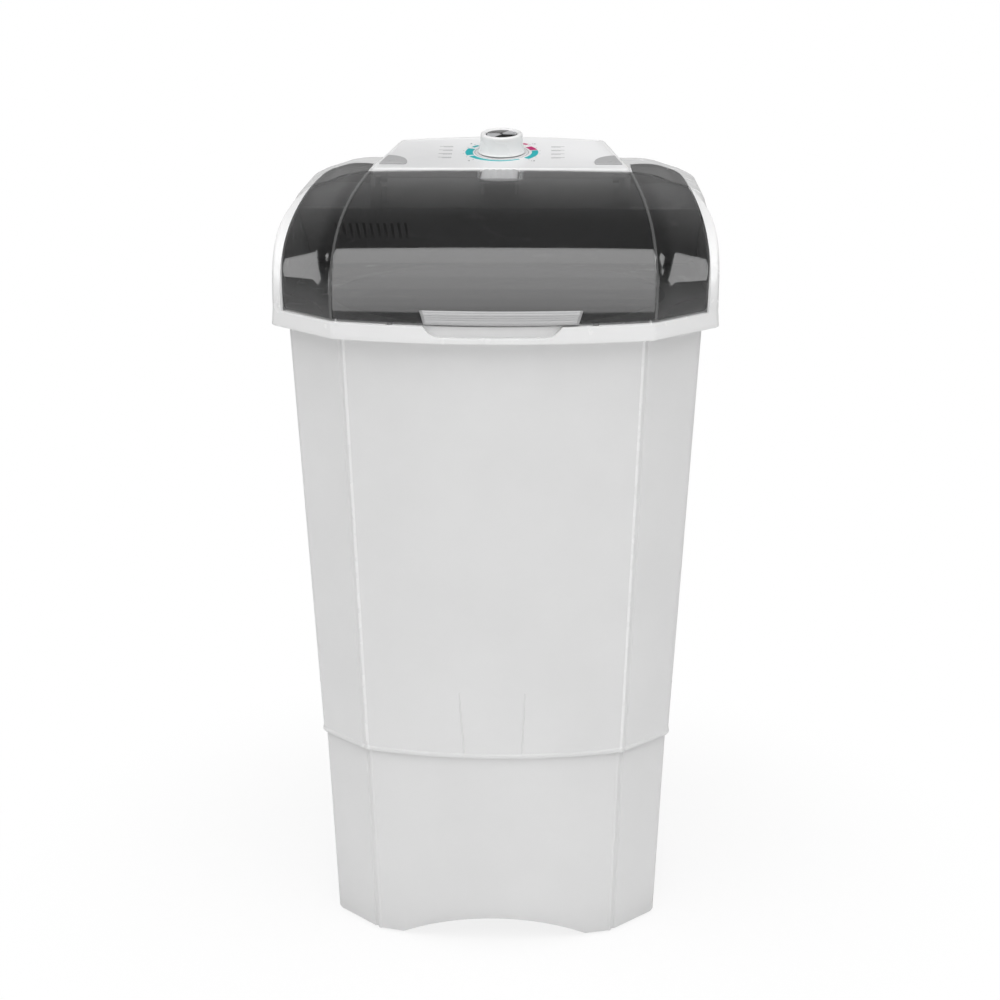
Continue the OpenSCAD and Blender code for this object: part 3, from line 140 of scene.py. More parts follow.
class Nodes:
    def __init__(self, name):
        self.material = bpy.data.materials.new(name)
        self.material.use_nodes = True
        self.tree = self.material.node_tree
        self.shader = self.tree.nodes["Principled BSDF"]
        self.coords = self.tree.nodes.new("ShaderNodeTexCoord")

    def new(self, kind, **values):
        return set_values(self.tree.nodes.new(kind), **values)

    def link(self, a, b):
        self.tree.links.new(a, b)

    def noise(self, scale, detail, stretch=None):
        node = feed(self.new("ShaderNodeTexNoise"), {"Scale": scale, "Detail": detail, "Roughness": 0.55})
        source = self.coords.outputs["Object"]
        if stretch:
            mapping = feed(self.new("ShaderNodeMapping"), {"Scale": stretch})
            self.link(source, mapping.inputs["Vector"])
            source = mapping.outputs["Vector"]
        self.link(source, node.inputs["Vector"])
        return node

    def ramp(self, source, low, high, a, b):
        node = self.new("ShaderNodeValToRGB")
        node.color_ramp.elements[0].position = low
        node.color_ramp.elements[1].position = high
        node.color_ramp.elements[0].color = a
        node.color_ramp.elements[1].color = b
        self.link(source, node.inputs["Fac"])
        return node

    def gloss(self, source, low, high):
        self.link(map_range(self.tree, source, 0.3, 0.7, low, high), self.shader.inputs["Roughness"])

    def bump(self, source, strength, distance):
        node = feed(self.new("ShaderNodeBump"), {"Strength": strength, "Distance": distance})
        self.link(source, node.inputs["Height"])
        self.link(node.outputs["Normal"], self.shader.inputs["Normal"])


def rgba(v):
    return (v[0], v[1], v[2], 1.0)


def grey(v):
    return (v, v, v)


# Share by which the tone of a plastic varies
TONE = 0.03


# Moulded plastic or paint: a little tone variation, uneven gloss and fine grain
def plastic(name, colour, rough, spread=0.05, grain=900.0, strength=0.06, specular=0.5):
    n = Nodes(name)
    cloud = n.noise(6.0, 4.0)
    low = [c * (1 - TONE) for c in colour]
    high = [min(1.0, c * (1 + TONE * 0.6)) for c in colour]
    ramp = n.ramp(cloud.outputs["Fac"], 0.3, 0.7, rgba(low), rgba(high))
    n.link(ramp.outputs["Color"], n.shader.inputs["Base Color"])
    smear = n.noise(38.0, 5.0)
    n.gloss(smear.outputs["Fac"], rough - spread, rough + spread)
    fine = n.noise(grain, 2.0)
    n.bump(fine.outputs["Fac"], strength, 0.0002)
    n.shader.inputs["Specular IOR Level"].default_value = specular
    return n.material


def metal(name, colour, rough=0.3, stretch=(1.0, 1.0, 30.0), strength=0.12, metallic=1.0):
    n = Nodes(name)
    lines = n.noise(90.0, 4.0, stretch)
    tone = n.ramp(lines.outputs["Fac"], 0.25, 0.75, rgba([c * 0.82 for c in colour]), rgba(colour))
    n.link(tone.outputs["Color"], n.shader.inputs["Base Color"])
    n.gloss(lines.outputs["Fac"], rough - 0.08, rough + 0.1)
    n.shader.inputs["Metallic"].default_value = metallic
    n.bump(lines.outputs["Fac"], strength, 0.0002)
    return n.material


def smoked(name, low, high, alpha):
    n = Nodes(name)
    cloud = n.noise(5.0, 3.0)
    ramp = n.ramp(cloud.outputs["Fac"], 0.3, 0.7, rgba(grey(low)), rgba(grey(high)))
    n.link(ramp.outputs["Color"], n.shader.inputs["Base Color"])
    smear = n.noise(30.0, 5.0)
    n.gloss(smear.outputs["Fac"], 0.035, 0.075)
    fine = n.noise(14.0, 1.0)
    n.bump(fine.outputs["Fac"], 0.05, 0.0004)
    feed(n.shader, {"Alpha": alpha, "Specular IOR Level": 1.0, "IOR": 1.75})
    return n.material


WHITE = plastic("cabinet plastic", grey(0.74), 0.34, 0.05, 700.0, 0.05)
# Lighter, glossier white painted on the front creases' beads as a highlight
CREASE_PAINTED_HIGHLIGHT = plastic("cabinet crease painted highlight", grey(0.84), 0.28, 0.05, 700.0, 0.04)
FRAME = plastic("frame plastic", grey(0.81), 0.24, 0.05, 900.0, 0.03)
PANEL = plastic("panel plastic", grey(0.76), 0.33, 0.05, 900.0, 0.05)
PANEL_FACE = plastic("panel face film", (0.74, 0.74, 0.745), 0.42, 0.06, 1500.0, 0.1)
TRIM = plastic("grey trim plastic", (0.40, 0.40, 0.405), 0.38, 0.06, 1100.0, 0.08)
HANDLE = plastic("lid handle plastic", (0.43, 0.43, 0.435), 0.36, 0.06, 1100.0, 0.08)
KNOB = plastic("knob plastic", grey(0.80), 0.28, 0.05, 900.0, 0.04)
TUB = plastic("tub plastic", (0.82, 0.82, 0.83), 0.24, 0.05, 600.0, 0.04)
RUBBER = plastic("foot rubber", (0.035, 0.035, 0.036), 0.72, 0.08, 1400.0, 0.25, 0.3)
BUFFER = plastic("buffer rubber", grey(0.17), 0.7, 0.08, 1400.0, 0.2, 0.3)
DARK = plastic("dark plastic", (0.045, 0.045, 0.047), 0.45, 0.08, 1200.0, 0.12)
TEAL = plastic("teal print", (0.012, 0.40, 0.43), 0.45, 0.05, 1600.0, 0.1)
MAGENTA = plastic("magenta print", (0.52, 0.012, 0.15), 0.45, 0.05, 1600.0, 0.1)
INK = plastic("grey print", (0.20, 0.20, 0.21), 0.5, 0.05, 1600.0, 0.1)
PIPE = plastic("pipe plastic", (0.74, 0.74, 0.70), 0.4, 0.06, 700.0, 0.06)
CASE = plastic("timer case plastic", (0.62, 0.57, 0.44), 0.5, 0.06, 900.0, 0.12)
PLATE = plastic("plate paint", (0.27, 0.29, 0.31), 0.48, 0.08, 500.0, 0.18)
ENAMEL = plastic("motor enamel", (0.12, 0.145, 0.16), 0.42, 0.08, 420.0, 0.22)
ZINC = metal("zinc steel", (0.60, 0.61, 0.63), 0.34)
SHAFT = metal("ground steel", (0.66, 0.67, 0.69), 0.22, (1.0, 1.0, 60.0), 0.06)
ALLOY = metal("cast alloy", (0.62, 0.63, 0.65), 0.42, (1.0, 1.0, 1.0), 0.3)
BRONZE = metal("sintered bronze", (0.50, 0.31, 0.14), 0.45, (1.0, 1.0, 1.0), 0.3)
CHROME = metal("chromed plastic", (0.80, 0.80, 0.82), 0.3, (1.0, 1.0, 1.0), 0.02, 0.55)
BLACK = plastic("black gloss plastic", grey(0.012), 0.2, 0.05, 900.0, 0.03)
SMOKED = smoked("smoked lid plastic", 0.015, 0.020, 0.55)
# Lighter, less clear smoke painted along the lid's crease as a highlight
SMOKED_PAINTED_HIGHLIGHT = smoked("smoked lid painted highlight", 0.10, 0.13, 0.85)

NODE_MATERIALS = {
    "rubber_feet": RUBBER, "wash_tub": TUB, "splash_chute": TUB, "inlet_tube": PIPE, "inlet_nozzle": TRIM,
    "timer_bracket": ZINC, "timer_body": CASE, "timer_shaft": ZINC, "hinge_bracket_left": FRAME,
    "hinge_bracket_right": FRAME, "hinge_pins": SHAFT, "lid_buffers": BUFFER, "cable_gland": DARK,
    "wiring_loom": DARK, "drain_pipe": TRIM, "drain_grate": TRIM, "bearing_housing": ALLOY,
    "shaft_bushes": BRONZE, "shaft_seal": RUBBER, "housing_bolts": ZINC, "drive_plate": PLATE,
    "agitator_shaft": SHAFT, "agitator": TUB, "agitator_cap": TRIM, "driven_pulley": ALLOY,
    "pulley_clip": SHAFT, "v_belt": RUBBER, "motor_housing": ENAMEL, "motor_bolts": ZINC,
    "motor_shaft": SHAFT, "motor_pulley": ALLOY, "motor_fan": PIPE, "capacitor": ALLOY,
    "capacitor_strap": ZINC,
}


# Mesh making
def new_object(name, points, faces, material):
    mesh = bpy.data.meshes.new(name)
    mesh.from_pydata([at(p) for p in points], [], faces)
    bm = bmesh.new()
    bm.from_mesh(mesh)
    bmesh.ops.remove_doubles(bm, verts=bm.verts, dist=2e-6)
    bmesh.ops.dissolve_degenerate(bm, edges=bm.edges, dist=1e-6)
    bmesh.ops.recalc_face_normals(bm, faces=bm.faces)
    bm.to_mesh(mesh)
    bm.free()
    mesh.materials.append(material)
    return add_object(name, mesh)


def bake(obj):
    bpy.context.view_layer.update()
    view = bpy.context.evaluated_depsgraph_get()
    mesh = bpy.data.meshes.new_from_object(obj.evaluated_get(view), preserve_all_data_layers=True,
                                           depsgraph=view)
    old = obj.data
    obj.modifiers.clear()
    obj.data = mesh
    mesh.name = obj.name
    bpy.data.meshes.remove(old)


def shade(obj, angle=32.0):
    mesh = obj.data
    mesh.polygons.foreach_set("use_smooth", [True] * len(mesh.polygons))
    mesh.set_sharp_from_angle(angle=math.radians(angle))
    mesh.update()


def cut(obj, *cutters):
    for cutter in cutters:
        set_values(obj.modifiers.new("cut", "BOOLEAN"), operation="DIFFERENCE", solver="EXACT",
                   object=cutter)
    bake(obj)
    for cutter in cutters:
        bpy.data.objects.remove(cutter, do_unlink=True)


def solid(obj, thickness, even=True):
    set_values(obj.modifiers.new("thickness", "SOLIDIFY"), thickness=thickness * MM, offset=-1.0,
               use_even_offset=even, thickness_clamp=0.0)
    bake(obj)


def soften(obj, width, segments=3, angle=35.0):
    set_values(obj.modifiers.new("edges", "BEVEL"), width=width * MM, segments=segments,
               limit_method="ANGLE", angle_limit=math.radians(angle), use_clamp_overlap=True,
               miter_outer="MITER_ARC")
    bake(obj)


def join(name, *objects):
    first = objects[0]
    bm = bmesh.new()
    for obj in objects:
        slots = []
        for material in obj.data.materials:
            index = first.data.materials.find(material.name)
            if index < 0:
                first.data.materials.append(material)
                index = len(first.data.materials) - 1
            slots.append(index)
        part = bmesh.new()
        part.from_mesh(obj.data)
        for face in part.faces:
            face.material_index = slots[face.material_index] if slots else 0
        temp = bpy.data.meshes.new("temp")
        part.to_mesh(temp)
        part.free()
        bm.from_mesh(temp)
        bpy.data.meshes.remove(temp)
    bm.to_mesh(first.data)
    bm.free()
    for obj in objects[1:]:
        bpy.data.objects.remove(obj, do_unlink=True)
    first.name = name
    first.data.name = name
    return first


def loft(rings, tube=False, caps=True):
    n = len(rings[0])
    m = len(rings)
    points = [p for ring in rings for p in ring]
    faces = []
    for j in range(m if tube else m - 1):
        for i in range(n):
            k = (i + 1) % n
            l = (j + 1) % m
            faces.append((j * n + i, j * n + k, l * n + k, l * n + i))
    if caps and not tube:
        faces.append(tuple(range(n)))
        faces.append(tuple((m - 1) * n + i for i in reversed(range(n))))
    return points, faces


def grid(rows):
    m = len(rows)
    n = len(rows[0])
    faces = [(j * n + i, j * n + i + 1, (j + 1) * n + i + 1, (j + 1) * n + i)
             for j in range(m - 1) for i in range(n - 1)]
    return [p for row in rows for p in row], faces


def ring(outline, z):
    return [(p[0], p[1], z) for p in outline]


def prism(name, outline, z0, z1, material=WHITE):
    return new_object(name, *loft([ring(outline, z0), ring(outline, z1)]), material)


def circle(r, n):
    return [(r * math.cos(2 * math.pi * i / n), r * math.sin(2 * math.pi * i / n)) for i in range(n)]


# Profile of radius and height turned round, each point put in its place by the function place
def revolve(name, profile, material, place, segments):
    points = []
    for k in range(segments):
        a = 2 * math.pi * k / segments
        points += [place(r * math.cos(a), r * math.sin(a), z) for r, z in profile]
    faces = []
    n = len(profile)
    for k in range(segments):
        l = (k + 1) % segments
        faces += [(k * n + i, l * n + i, l * n + i + 1, k * n + i + 1) for i in range(n - 1)]
    return new_object(name, points, faces, material)


# Corner p as a narrow flat with both its edges softened
def chamfer(p, d_in, d_out, size, soft):
    a = (p[0] - d_in[0] * size, p[1] - d_in[1] * size)
    b = (p[0] + d_out[0] * size, p[1] + d_out[1] * size)
    band = unit2((b[0] - a[0], b[1] - a[1]))
    points = []
    for here, before, after in ((a, d_in, band), (b, band, d_out)):
        s = (here[0] - before[0] * soft, here[1] - before[1] * soft)
        e = (here[0] + after[0] * soft, here[1] + after[1] * soft)
        for t in (0.0, 0.33, 0.67, 1.0):
            points.append(bend(s, here, e, t))
    return points


# Front crease of the cabinet: a bead on the front's side and a shallow groove on the facet's side,
# each as distance from the corner and height over the surface
CREASE_BEAD = [(0.0, -0.5), (0.5, 0.2), (1.4, 0.8), (2.4, 1.0), (3.4, 0.8), (4.3, 0.2), (4.9, 0.0),
               (6.0, 0.0)]
CREASE_GROOVE = [(0.7, -1.5), (2.2, -1.9), (4.2, -1.9), (5.6, -1.5), (6.5, -0.4), (7.2, 0.0), (9.0, 0.0)]


def front_crease(p, d_in, d_out, side):
    front, facet = (d_out, d_in) if side < 0 else (d_in, d_out)
    points = []
    for part, way, sign in ((CREASE_GROOVE[::-1], facet, -1), (CREASE_BEAD, front, 1)):
        for reach, height in part:
            step = reach * (sign if side < 0 else -sign)
            points.append((p[0] + way[0] * step + way[1] * height, p[1] + way[1] * step - way[0] * height))
    return points if side < 0 else points[::-1]


# Faces of the two front creases' beads get a lighter, glossier plastic as a painted highlight
def paint_bead_highlight(obj):
    obj.data.materials.append(CREASE_PAINTED_HIGHLIGHT)
    index = len(obj.data.materials) - 1
    for polygon in obj.data.polygons:
        c = polygon.center
        x, y, z = abs(c.x) / MM, c.y / MM - SHIFT_Y, c.z / MM
        w, crease = cabinet_size(z)
        slope = 2 * bulge_at(z) / crease
        reach = (crease - x) * math.sqrt(1 + slope * slope)
        over = -(y + w + slope * (crease - x))
        if 0.3 < reach < 4.4 and abs(over) < 1.4:
            polygon.material_index = index


# Octagonal plan, from the front left crease round by the right
def plan(half_w, crease, bulge, size=4.3, soft=1.3, front_steps=30, sides=3):
    rear = half_w - REAR_CUT
    lean = unit2((1.0, 2 * bulge / crease))
    d = math.sqrt(0.5)
    corners = [
        ((-crease, -half_w), (d, -d), (lean[0], -lean[1])), ((crease, -half_w), lean, (d, d)),
        ((half_w, -crease), (d, d), (0, 1)), ((half_w, rear), (0, 1), (-d, d)),
        ((rear, half_w), (-d, d), (-1, 0)), ((-rear, half_w), (-1, 0), (-d, -d)),
        ((-half_w, rear), (-d, -d), (0, -1)), ((-half_w, -crease), (0, -1), (d, -d))]
    points = front_crease(*corners[0], -1)
    edge = crease - CREASE_BEAD[-1][0] * lean[0]
    for i in range(1, front_steps):
        x = mix(-edge, edge, i / front_steps)
        points.append((x, -half_w - bulge * (1 - (x / crease) ** 2)))
    for k in range(1, 8):
        c = front_crease(*corners[k], 1) if k == 1 else chamfer(*corners[k], size, soft)
        points += c
        after = corners[(k + 1) % 8]
        start = c[-1]
        first = front_crease(*after, -1)[0] if k == 7 else chamfer(*after, size, soft)[0]
        for i in range(1, sides):
            points.append((mix(start[0], first[0], i / sides), mix(start[1], first[1], i / sides)))
    return points


def bulge_at(z):
    return mix(FOOT_BULGE, BULGE, z / RIM_Z)


# Half width and crease of the cabinet at z
def cabinet_size(z):
    t = (z - SEAM_Z) / (RIM_Z - SEAM_Z)
    return mix(SEAM_W, TOP_W, t), mix(SEAM_CREASE, TOP_CREASE, t)


def cabinet_ring(z, inset):
    w, crease = cabinet_size(z)
    return ring(plan(w - inset, crease - 0.4 * inset, bulge_at(z)), z)


def base_ring(z, inset):
    t = z / SEAM_Z
    w = mix(FOOT_W, SEAM_W - WALL - 0.3, t) - inset
    crease = mix(FOOT_CREASE, SEAM_CREASE - WALL, t) - 0.4 * inset
    return ring(plan(w, crease, bulge_at(z)), z)


def drain_cutter():
    rings = [[(DRAIN_X + u, y, DRAIN_Z + v) for u, v in circle(DRAIN_R, 48)] for y in (150, 300)]
    return new_object("cutter", *loft(rings), WHITE)


# Faint rib low on the cabinet's front, leaning by some degrees
def make_rib(x, lean):
    rings = []
    for k in range(13):
        t = k / 12
        z = SEAM_Z + 4.5 + RIB_LENGTH * t
        rx = x - RIB_LENGTH * t * math.tan(math.radians(lean))
        w, crease = cabinet_size(z)
        y = -w - bulge_at(z) * (1 - (rx / crease) ** 2)
        size = RIB_SIZE * math.sin(math.pi * min(1.0, 0.5 + 3 * (1 - t))) if t > 0.9 else RIB_SIZE
        rings.append([(rx + RIB_SIZE * math.cos(a), y + 0.3 - max(0.02, size + 0.3) * math.sin(a), z)
                      for a in [math.pi * i / 6 for i in range(7)]])
    return new_object("rib", *loft(rings), WHITE)


def add_cabinet():
    lip = [(0.0, 0.2), (0.15, -0.55), (0.6, -1.0), (1.3, -1.2), (3.8, -1.2), (4.5, -1.05), (5.0, -0.7),
           (5.3, -0.35), (5.8, -0.08), (6.6, 0.0)]
    profile = [(SEAM_Z + rise, inset) for rise, inset in lip]
    profile += [(mix(SEAM_Z + 7, CABINET_TOP, k / 8), 0.0) for k in range(1, 9)]
    profile += [(CABINET_TOP, WALL), (mix(SEAM_Z, CABINET_TOP, 0.5), WALL), (SEAM_Z, WALL)]
    body = new_object("cabinet", *loft([cabinet_ring(z, inset) for z, inset in profile], tube=True), WHITE)
    cut(body, drain_cutter())
    body = join("cabinet", body, make_rib(-37, 4.0), make_rib(35, -2.5))
    # Painted highlight: the crease beads take the lighter plastic
    paint_bead_highlight(body)
    shade(body, 30)
    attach(body, "machine")
    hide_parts("cabinet_shell")


# The arched edges rise a little more than in the CAD source, as the photograph shows them
ARCH_W, ARCH_RISE = 236, 28


def arc_prism(axis, reach):
    r = (ARCH_W ** 2 / 4 + ARCH_RISE ** 2) / (2 * ARCH_RISE)
    zc = 3 + ARCH_RISE - r
    half = math.asin(150 / r)
    top = [(r * math.sin(a), zc + r * math.cos(a)) for a in [mix(-half, half, i / 60) for i in range(61)]]
    outline = top + [(150, -20), (-150, -20)]
    rings = []
    for s in (-reach, reach):
        rings.append([(p[0], s, p[1]) if axis == "y" else (s, p[0], p[1]) for p in outline])
    points, faces = loft(rings)
    return new_object("cutter", points, faces, WHITE)


def add_base():
    top = SEAM_Z + SEAM_LAP
    profile = [(3.0, 1.0), (3.3, 0.35), (4.0, 0.0)] + [(mix(4, top, k / 6), 0.0) for k in range(1, 7)]
    profile += [(top, 3.0), (mix(3, top, 0.5), 3.0), (3.0, 3.0)]
    points, faces = loft([base_ring(z, inset) for z, inset in profile], tube=True)
    body = new_object("base", points, faces, WHITE)
    cut(body, arc_prism("y", 330), arc_prism("x", 330), drain_cutter())
    soften(body, 0.7, 2, 50)
    pads = []
    for side in (-1, 1):
        for y, reach, width in ((-1, (FOOT_W + FOOT_CREASE) / math.sqrt(2), 60),
                                (1, (2 * FOOT_W - REAR_CUT) / math.sqrt(2), 36)):
            a = math.atan2(y, side)
            c, s = math.cos(a), math.sin(a)
            near, far, half = reach - 43, reach - 1.5, width / 2
            box = [(near, -half), (far, -half), (far, half), (near, half)]
            pad = prism("pad", [(u * c - v * s, u * s + v * c) for u, v in box], 6, 10)
            soften(pad, 0.6, 2, 50)
            pads.append(pad)
    body = join("base", body, *pads)
    shade(body, 30)
    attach(body, "machine")
    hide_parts("base_skirt")


# The shoulder's arc, which is a little squarer than round between these angles
SHOULDER_SQUARE, SHOULDER_ARC, SHOULDER_FULL = math.radians(8), math.radians(62), 3.0


# Top frame: curves shared with the lid
def side_point(d, w=COLLAR_W, drop=0.0, r=SHOULDER_R):
    cx = w - r
    cz = ROOF_Z - drop - (cx - ROOF_X) * SLOPE - r / math.cos(math.atan(SLOPE))
    rise = cz - FRAME_TOP
    scale = SHOULDER_Z - FRAME_TOP
    if d <= scale:
        return (w, FRAME_TOP + rise * d / scale)
    a = (d - scale) / SHOULDER_R
    k = min(1.0, max(0.0, (a - SHOULDER_SQUARE) / (SHOULDER_ARC - SHOULDER_SQUARE)))
    r += SHOULDER_FULL * math.sin(math.pi * k) ** 2
    return (cx + r * math.cos(a), cz + r * math.sin(a))


SIDE_LENGTH = SHOULDER_Z - FRAME_TOP + SHOULDER_R * SHOULDER_ARC
EDGE_X = 246.5
EDGE_END_Z = SHOULDER_Z + math.sqrt(SHOULDER_R ** 2 - (EDGE_X - SHOULDER_X) ** 2)
EDGE = [(256.5, -200.5, FRAME_TOP), (260.5, -203, FRAME_TOP + 72), (258.5, -92, EDGE_END_Z - 18),
        (EDGE_X, HOOD_FRONT, EDGE_END_Z)]
WALL_END = side_point(SIDE_LENGTH)
CORNER = [(268.5, -188.5, FRAME_TOP), (269.4, -188, FRAME_TOP + 78), (277.0, -98, SHOULDER_Z + 20),
          (WALL_END[0] - 0.5, 54, WALL_END[1] - 0.3)]
CREASE = [(190.5, -261.5, LID_Z), (197.0, -231.5, LID_Z + 95), (181.5, -140, ROOF_Z - 8), (170, 52.5, ROOF_Z)]
MIDDLE = [(0, -290.5, LID_Z), (0, -261.5, LID_Z + 98), (0, -160, ROOF_Z - 2), (0, 52.5, ROOF_Z + ROOF_CROWN)]
LID_END_X = EDGE_X - 2
LID_END_Z = SHOULDER_Z + math.sqrt(SHOULDER_R ** 2 - (LID_END_X - SHOULDER_X) ** 2)
LID_EDGE = [(253.5, -196.5, LID_Z), (258.5, -203, FRAME_TOP + 72), (256.5, -92, EDGE_END_Z - 18),
            (LID_END_X, 52.5, LID_END_Z)]
FACET_CROWN = 3.0


def chamfer3(p, a, b, size, soft):
    d_in = (Vector(p) - Vector(a)).normalized()
    d_out = (Vector(b) - Vector(p)).normalized()
    near = min((Vector(p) - Vector(a)).length, (Vector(b) - Vector(p)).length)
    k = min(1.0, 0.32 * near / (size + soft))
    size, soft = size * k, soft * k
    a = Vector(p) - d_in * size
    b = Vector(p) + d_out * size
    band = (b - a).normalized()
    points = []
    for here, before, after in ((a, d_in, band), (b, band, d_out)):
        s = here - before * soft
        e = here + after * soft
        for t in (0.0, 0.33, 0.67, 1.0):
            points.append(s * (1 - t) ** 2 + here * (2 * t * (1 - t)) + e * t * t)
    return points


ARM_COLS = 14
ARM_ROWS = 40


# One row of the right arm, from the hood's front line to the edge beside the lid
def arm_row(t):
    w = side_point(t * SIDE_LENGTH)
    back = Vector((w[0], HOOD_FRONT, w[1]))
    corner = bezier(CORNER, t)
    edge = bezier(EDGE, t)
    if t == 0:
        back.z = corner.z = edge.z = FRAME_TOP
    soft = chamfer3(corner, back, edge, 4.3, 1.3)
    side = [back.lerp(soft[0], i / ARM_COLS) for i in range(ARM_COLS)]
    lip = [soft[-1].lerp(edge, i / 4) for i in range(1, 5)]
    return side + soft + lip


# The roof is a little crowned beside the panel and falls a little to the rear
def roof_lift(x, y):
    k = min(1.0, max(0.0, (abs(x) - ROOF_X) / 56))
    fall = 0.025 * max(0.0, y - HOOD_FRONT) * (1 - min(1.0, max(0.0, (abs(x) - ROOF_X) / 45)))
    return FACET_CROWN * math.sin(math.pi * k) - fall


# Hood section at y: the side rows, then the rest of the roof to the middle
def hood_half(y):
    ix = max(0.0, y - (COLLAR_W - REAR_CUT))
    back = max(0.0, y - (COLLAR_W - 30))
    iz = 30 - math.sqrt(max(0.0, 900 - back * back))
    r = mix(SHOULDER_R, 14, min(1.0, ix / REAR_CUT))
    w = COLLAR_W - ix
    rows = []
    for i in range(ARM_ROWS + 1):
        x, z = side_point(i / ARM_ROWS * SIDE_LENGTH, w, iz, r)
        rows.append((x, y, z))
    cx = w - r
    cz = ROOF_Z - iz - (cx - ROOF_X) * SLOPE - r / math.cos(math.atan(SLOPE))
    for a in (66, 71, 76):
        rows.append((cx + r * math.cos(math.radians(a)), y, cz + r * math.sin(math.radians(a))))
    last = rows[-1]
    for i in range(1, 6):
        x = mix(last[0], ROOF_X, i / 5)
        rows.append((x, y, ROOF_Z - iz - (x - ROOF_X) * SLOPE))
    rows = [(p[0], p[1], p[2] + roof_lift(p[0], y)) for p in rows]
    for i in range(1, 11):
        x = ROOF_X * (1 - i / 10)
        rows.append((x, y, ROOF_Z - iz + ROOF_CROWN * (1 - (x / ROOF_X) ** 2) + roof_lift(x, y)))
    return rows


# Height of the roof beside the panel
def roof_z(x, y):
    rows = hood_half(y)
    for a, b in zip(rows, rows[1:]):
        if b[0] <= x <= a[0] and a[0] > b[0]:
            return mix(a[2], b[2], (a[0] - x) / (a[0] - b[0]))
    return rows[0][2]


def mirror(rows):
    return [flip(row) for row in rows]


# Place of the collar's bowed front at x
def collar_front(x, depth=0.0):
    return -COLLAR_W + depth - BULGE * (1 - (x / COLLAR_CREASE) ** 2)


def collar_half():
    d = math.sqrt(0.5)
    rear = COLLAR_W - REAR_CUT
    lean = unit2((1.0, 2 * BULGE / COLLAR_CREASE))
    points = [(x, COLLAR_W) for x in (0, 50, 100, 150, 200)]
    points += chamfer((rear, COLLAR_W), (1, 0), (d, -d), 4.3, 1.3)
    points += chamfer((COLLAR_W, rear), (d, -d), (0, -1), 4.3, 1.3)
    points += [(COLLAR_W, y) for y in (200, 160, 120, 90)]
    points += [(p[0], p[1]) for p in arm_row(0.0)]
    last = len(points) - 1
    edge = points[-1]
    crease = chamfer((COLLAR_CREASE, -COLLAR_W), (-d, -d), (-lean[0], -lean[1]), 1.9, 0.7)
    points += [(mix(edge[0], crease[0][0], i / 8), mix(edge[1], crease[0][1], i / 8)) for i in range(1, 8)]
    points += crease
    start = crease[-1][0]
    for i in range(1, 17):
        x = start * (1 - i / 16)
        points.append((x, collar_front(x)))
    return points, last


def closed_from_half(half):
    return half + flip(half[-2:0:-1])


def offset_outline(outline, d):
    n = len(outline)
    out = []
    for i in range(n):
        a, b = outline[i - 1], outline[(i + 1) % n]
        t = unit2((b[0] - a[0], b[1] - a[1]))
        out.append((outline[i][0] - t[1] * d, outline[i][1] + t[0] * d))
    return out


def panel_outline(inset, steps=6):
    back = PANEL_Y + PANEL_D
    f, r = PANEL_F - inset, PANEL_R - inset
    corners = [(-f, PANEL_Y + inset), (f, PANEL_Y + inset), (r, back), (-r, back)]
    points = []
    for i in range(4):
        before, here, after = corners[i - 1], corners[i], corners[(i + 1) % 4]
        u = unit2((before[0] - here[0], before[1] - here[1]))
        v = unit2((after[0] - here[0], after[1] - here[1]))
        a = (here[0] + 7 * u[0], here[1] + 7 * u[1])
        b = (here[0] + 7 * v[0], here[1] + 7 * v[1])
        for k in range(steps + 1):
            t = k / steps
            points.append(bend(a, here, b, t))
        if i == 2:
            for k in range(1, 24):
                x = mix(r - 7, -r + 7, k / 24)
                points.append((x, back + PANEL_BOW * (1 - (x / r) ** 2) - inset))
    return points


RECESS_STEPS, RECESS_BACK = 24, 8.5


# Side of the finger recess from its top edge down to its floor, round at the foot
def recess_side(gap):
    side = [(86.5, FRAME_TOP + 8), (81.0, FRAME_TOP - 0.5), (77.2, DECK_TOP + 8.2), (74.8, DECK_TOP + 5.4),
            (72.0, DECK_TOP + 3.2), (68.6, DECK_TOP + 1.5), (65.0, DECK_TOP + 0.5), (61.0, DECK_TOP)]
    return [(x - gap, z + gap * 0.5) for x, z in side]


# Outline of the recess from its left top edge round by the floor
def recess_outline(side):
    reach, low = side[-1]
    floor = [(mix(-reach, reach, i / RECESS_STEPS), low) for i in range(1, RECESS_STEPS)]
    return [(-x, z) for x, z in side] + floor + side[::-1]


def recess_cutter():
    side = recess_side(0.0)
    reach, high = side[0]
    path = recess_outline(side)
    path += [(mix(reach, -reach, i / RECESS_STEPS), high) for i in range(1, RECESS_STEPS)]
    rings = [[(x, collar_front(x, depth), z) for x, z in path] for depth in (-40.0, RECESS_BACK)]
    return new_object("cutter", *loft(rings), WHITE)


# Line of the recess's lining at a depth behind the collar's front
def recess_path(depth):
    return [(x, collar_front(x, depth), z) for x, z in recess_outline(recess_side(0.1)[1:])]


def merged(name, parts, material):
    points, faces = [], []
    for p, f in parts:
        base = len(points)
        points += list(p)
        faces += [tuple(v + base for v in face) for face in f]
    obj = new_object(name, points, faces, material)
    centre = at((0, 0, 870))
    turn_faces(obj, lambda f: (f.calc_center_median() - centre).dot(f.normal))
    return obj


# Windows beside the control housing: the shelf below them, the gap round them, their front and rear limits
SHELF_Z = 904.5
WINDOW_GAP = 1.2
# Clear of the lid's rear edge as it swings
WINDOW_FRONT = 57.4
WINDOW_PEAK, WINDOW_PEAK_Y = hood_half(180)[ARM_ROWS + 4][0], 203
WINDOW_END = WINDOW_PEAK_Y + WINDOW_GAP
WINDOW_REAR = [(172.5, 148), (178, 156), (200, 182), (215, 196), (WINDOW_PEAK, WINDOW_PEAK_Y), (233, 198),
               (238, 182), (241, 160), (243.2, 120), (LID_END_X, 60)]


# Value at v on a line through points of position and value, with rising positions
def along(points, v):
    for a, b in zip(points, points[1:]):
        if v <= b[0]:
            return mix(a[1], b[1], max(0.0, (v - a[0]) / (b[0] - a[0])))
    return points[-1][1]


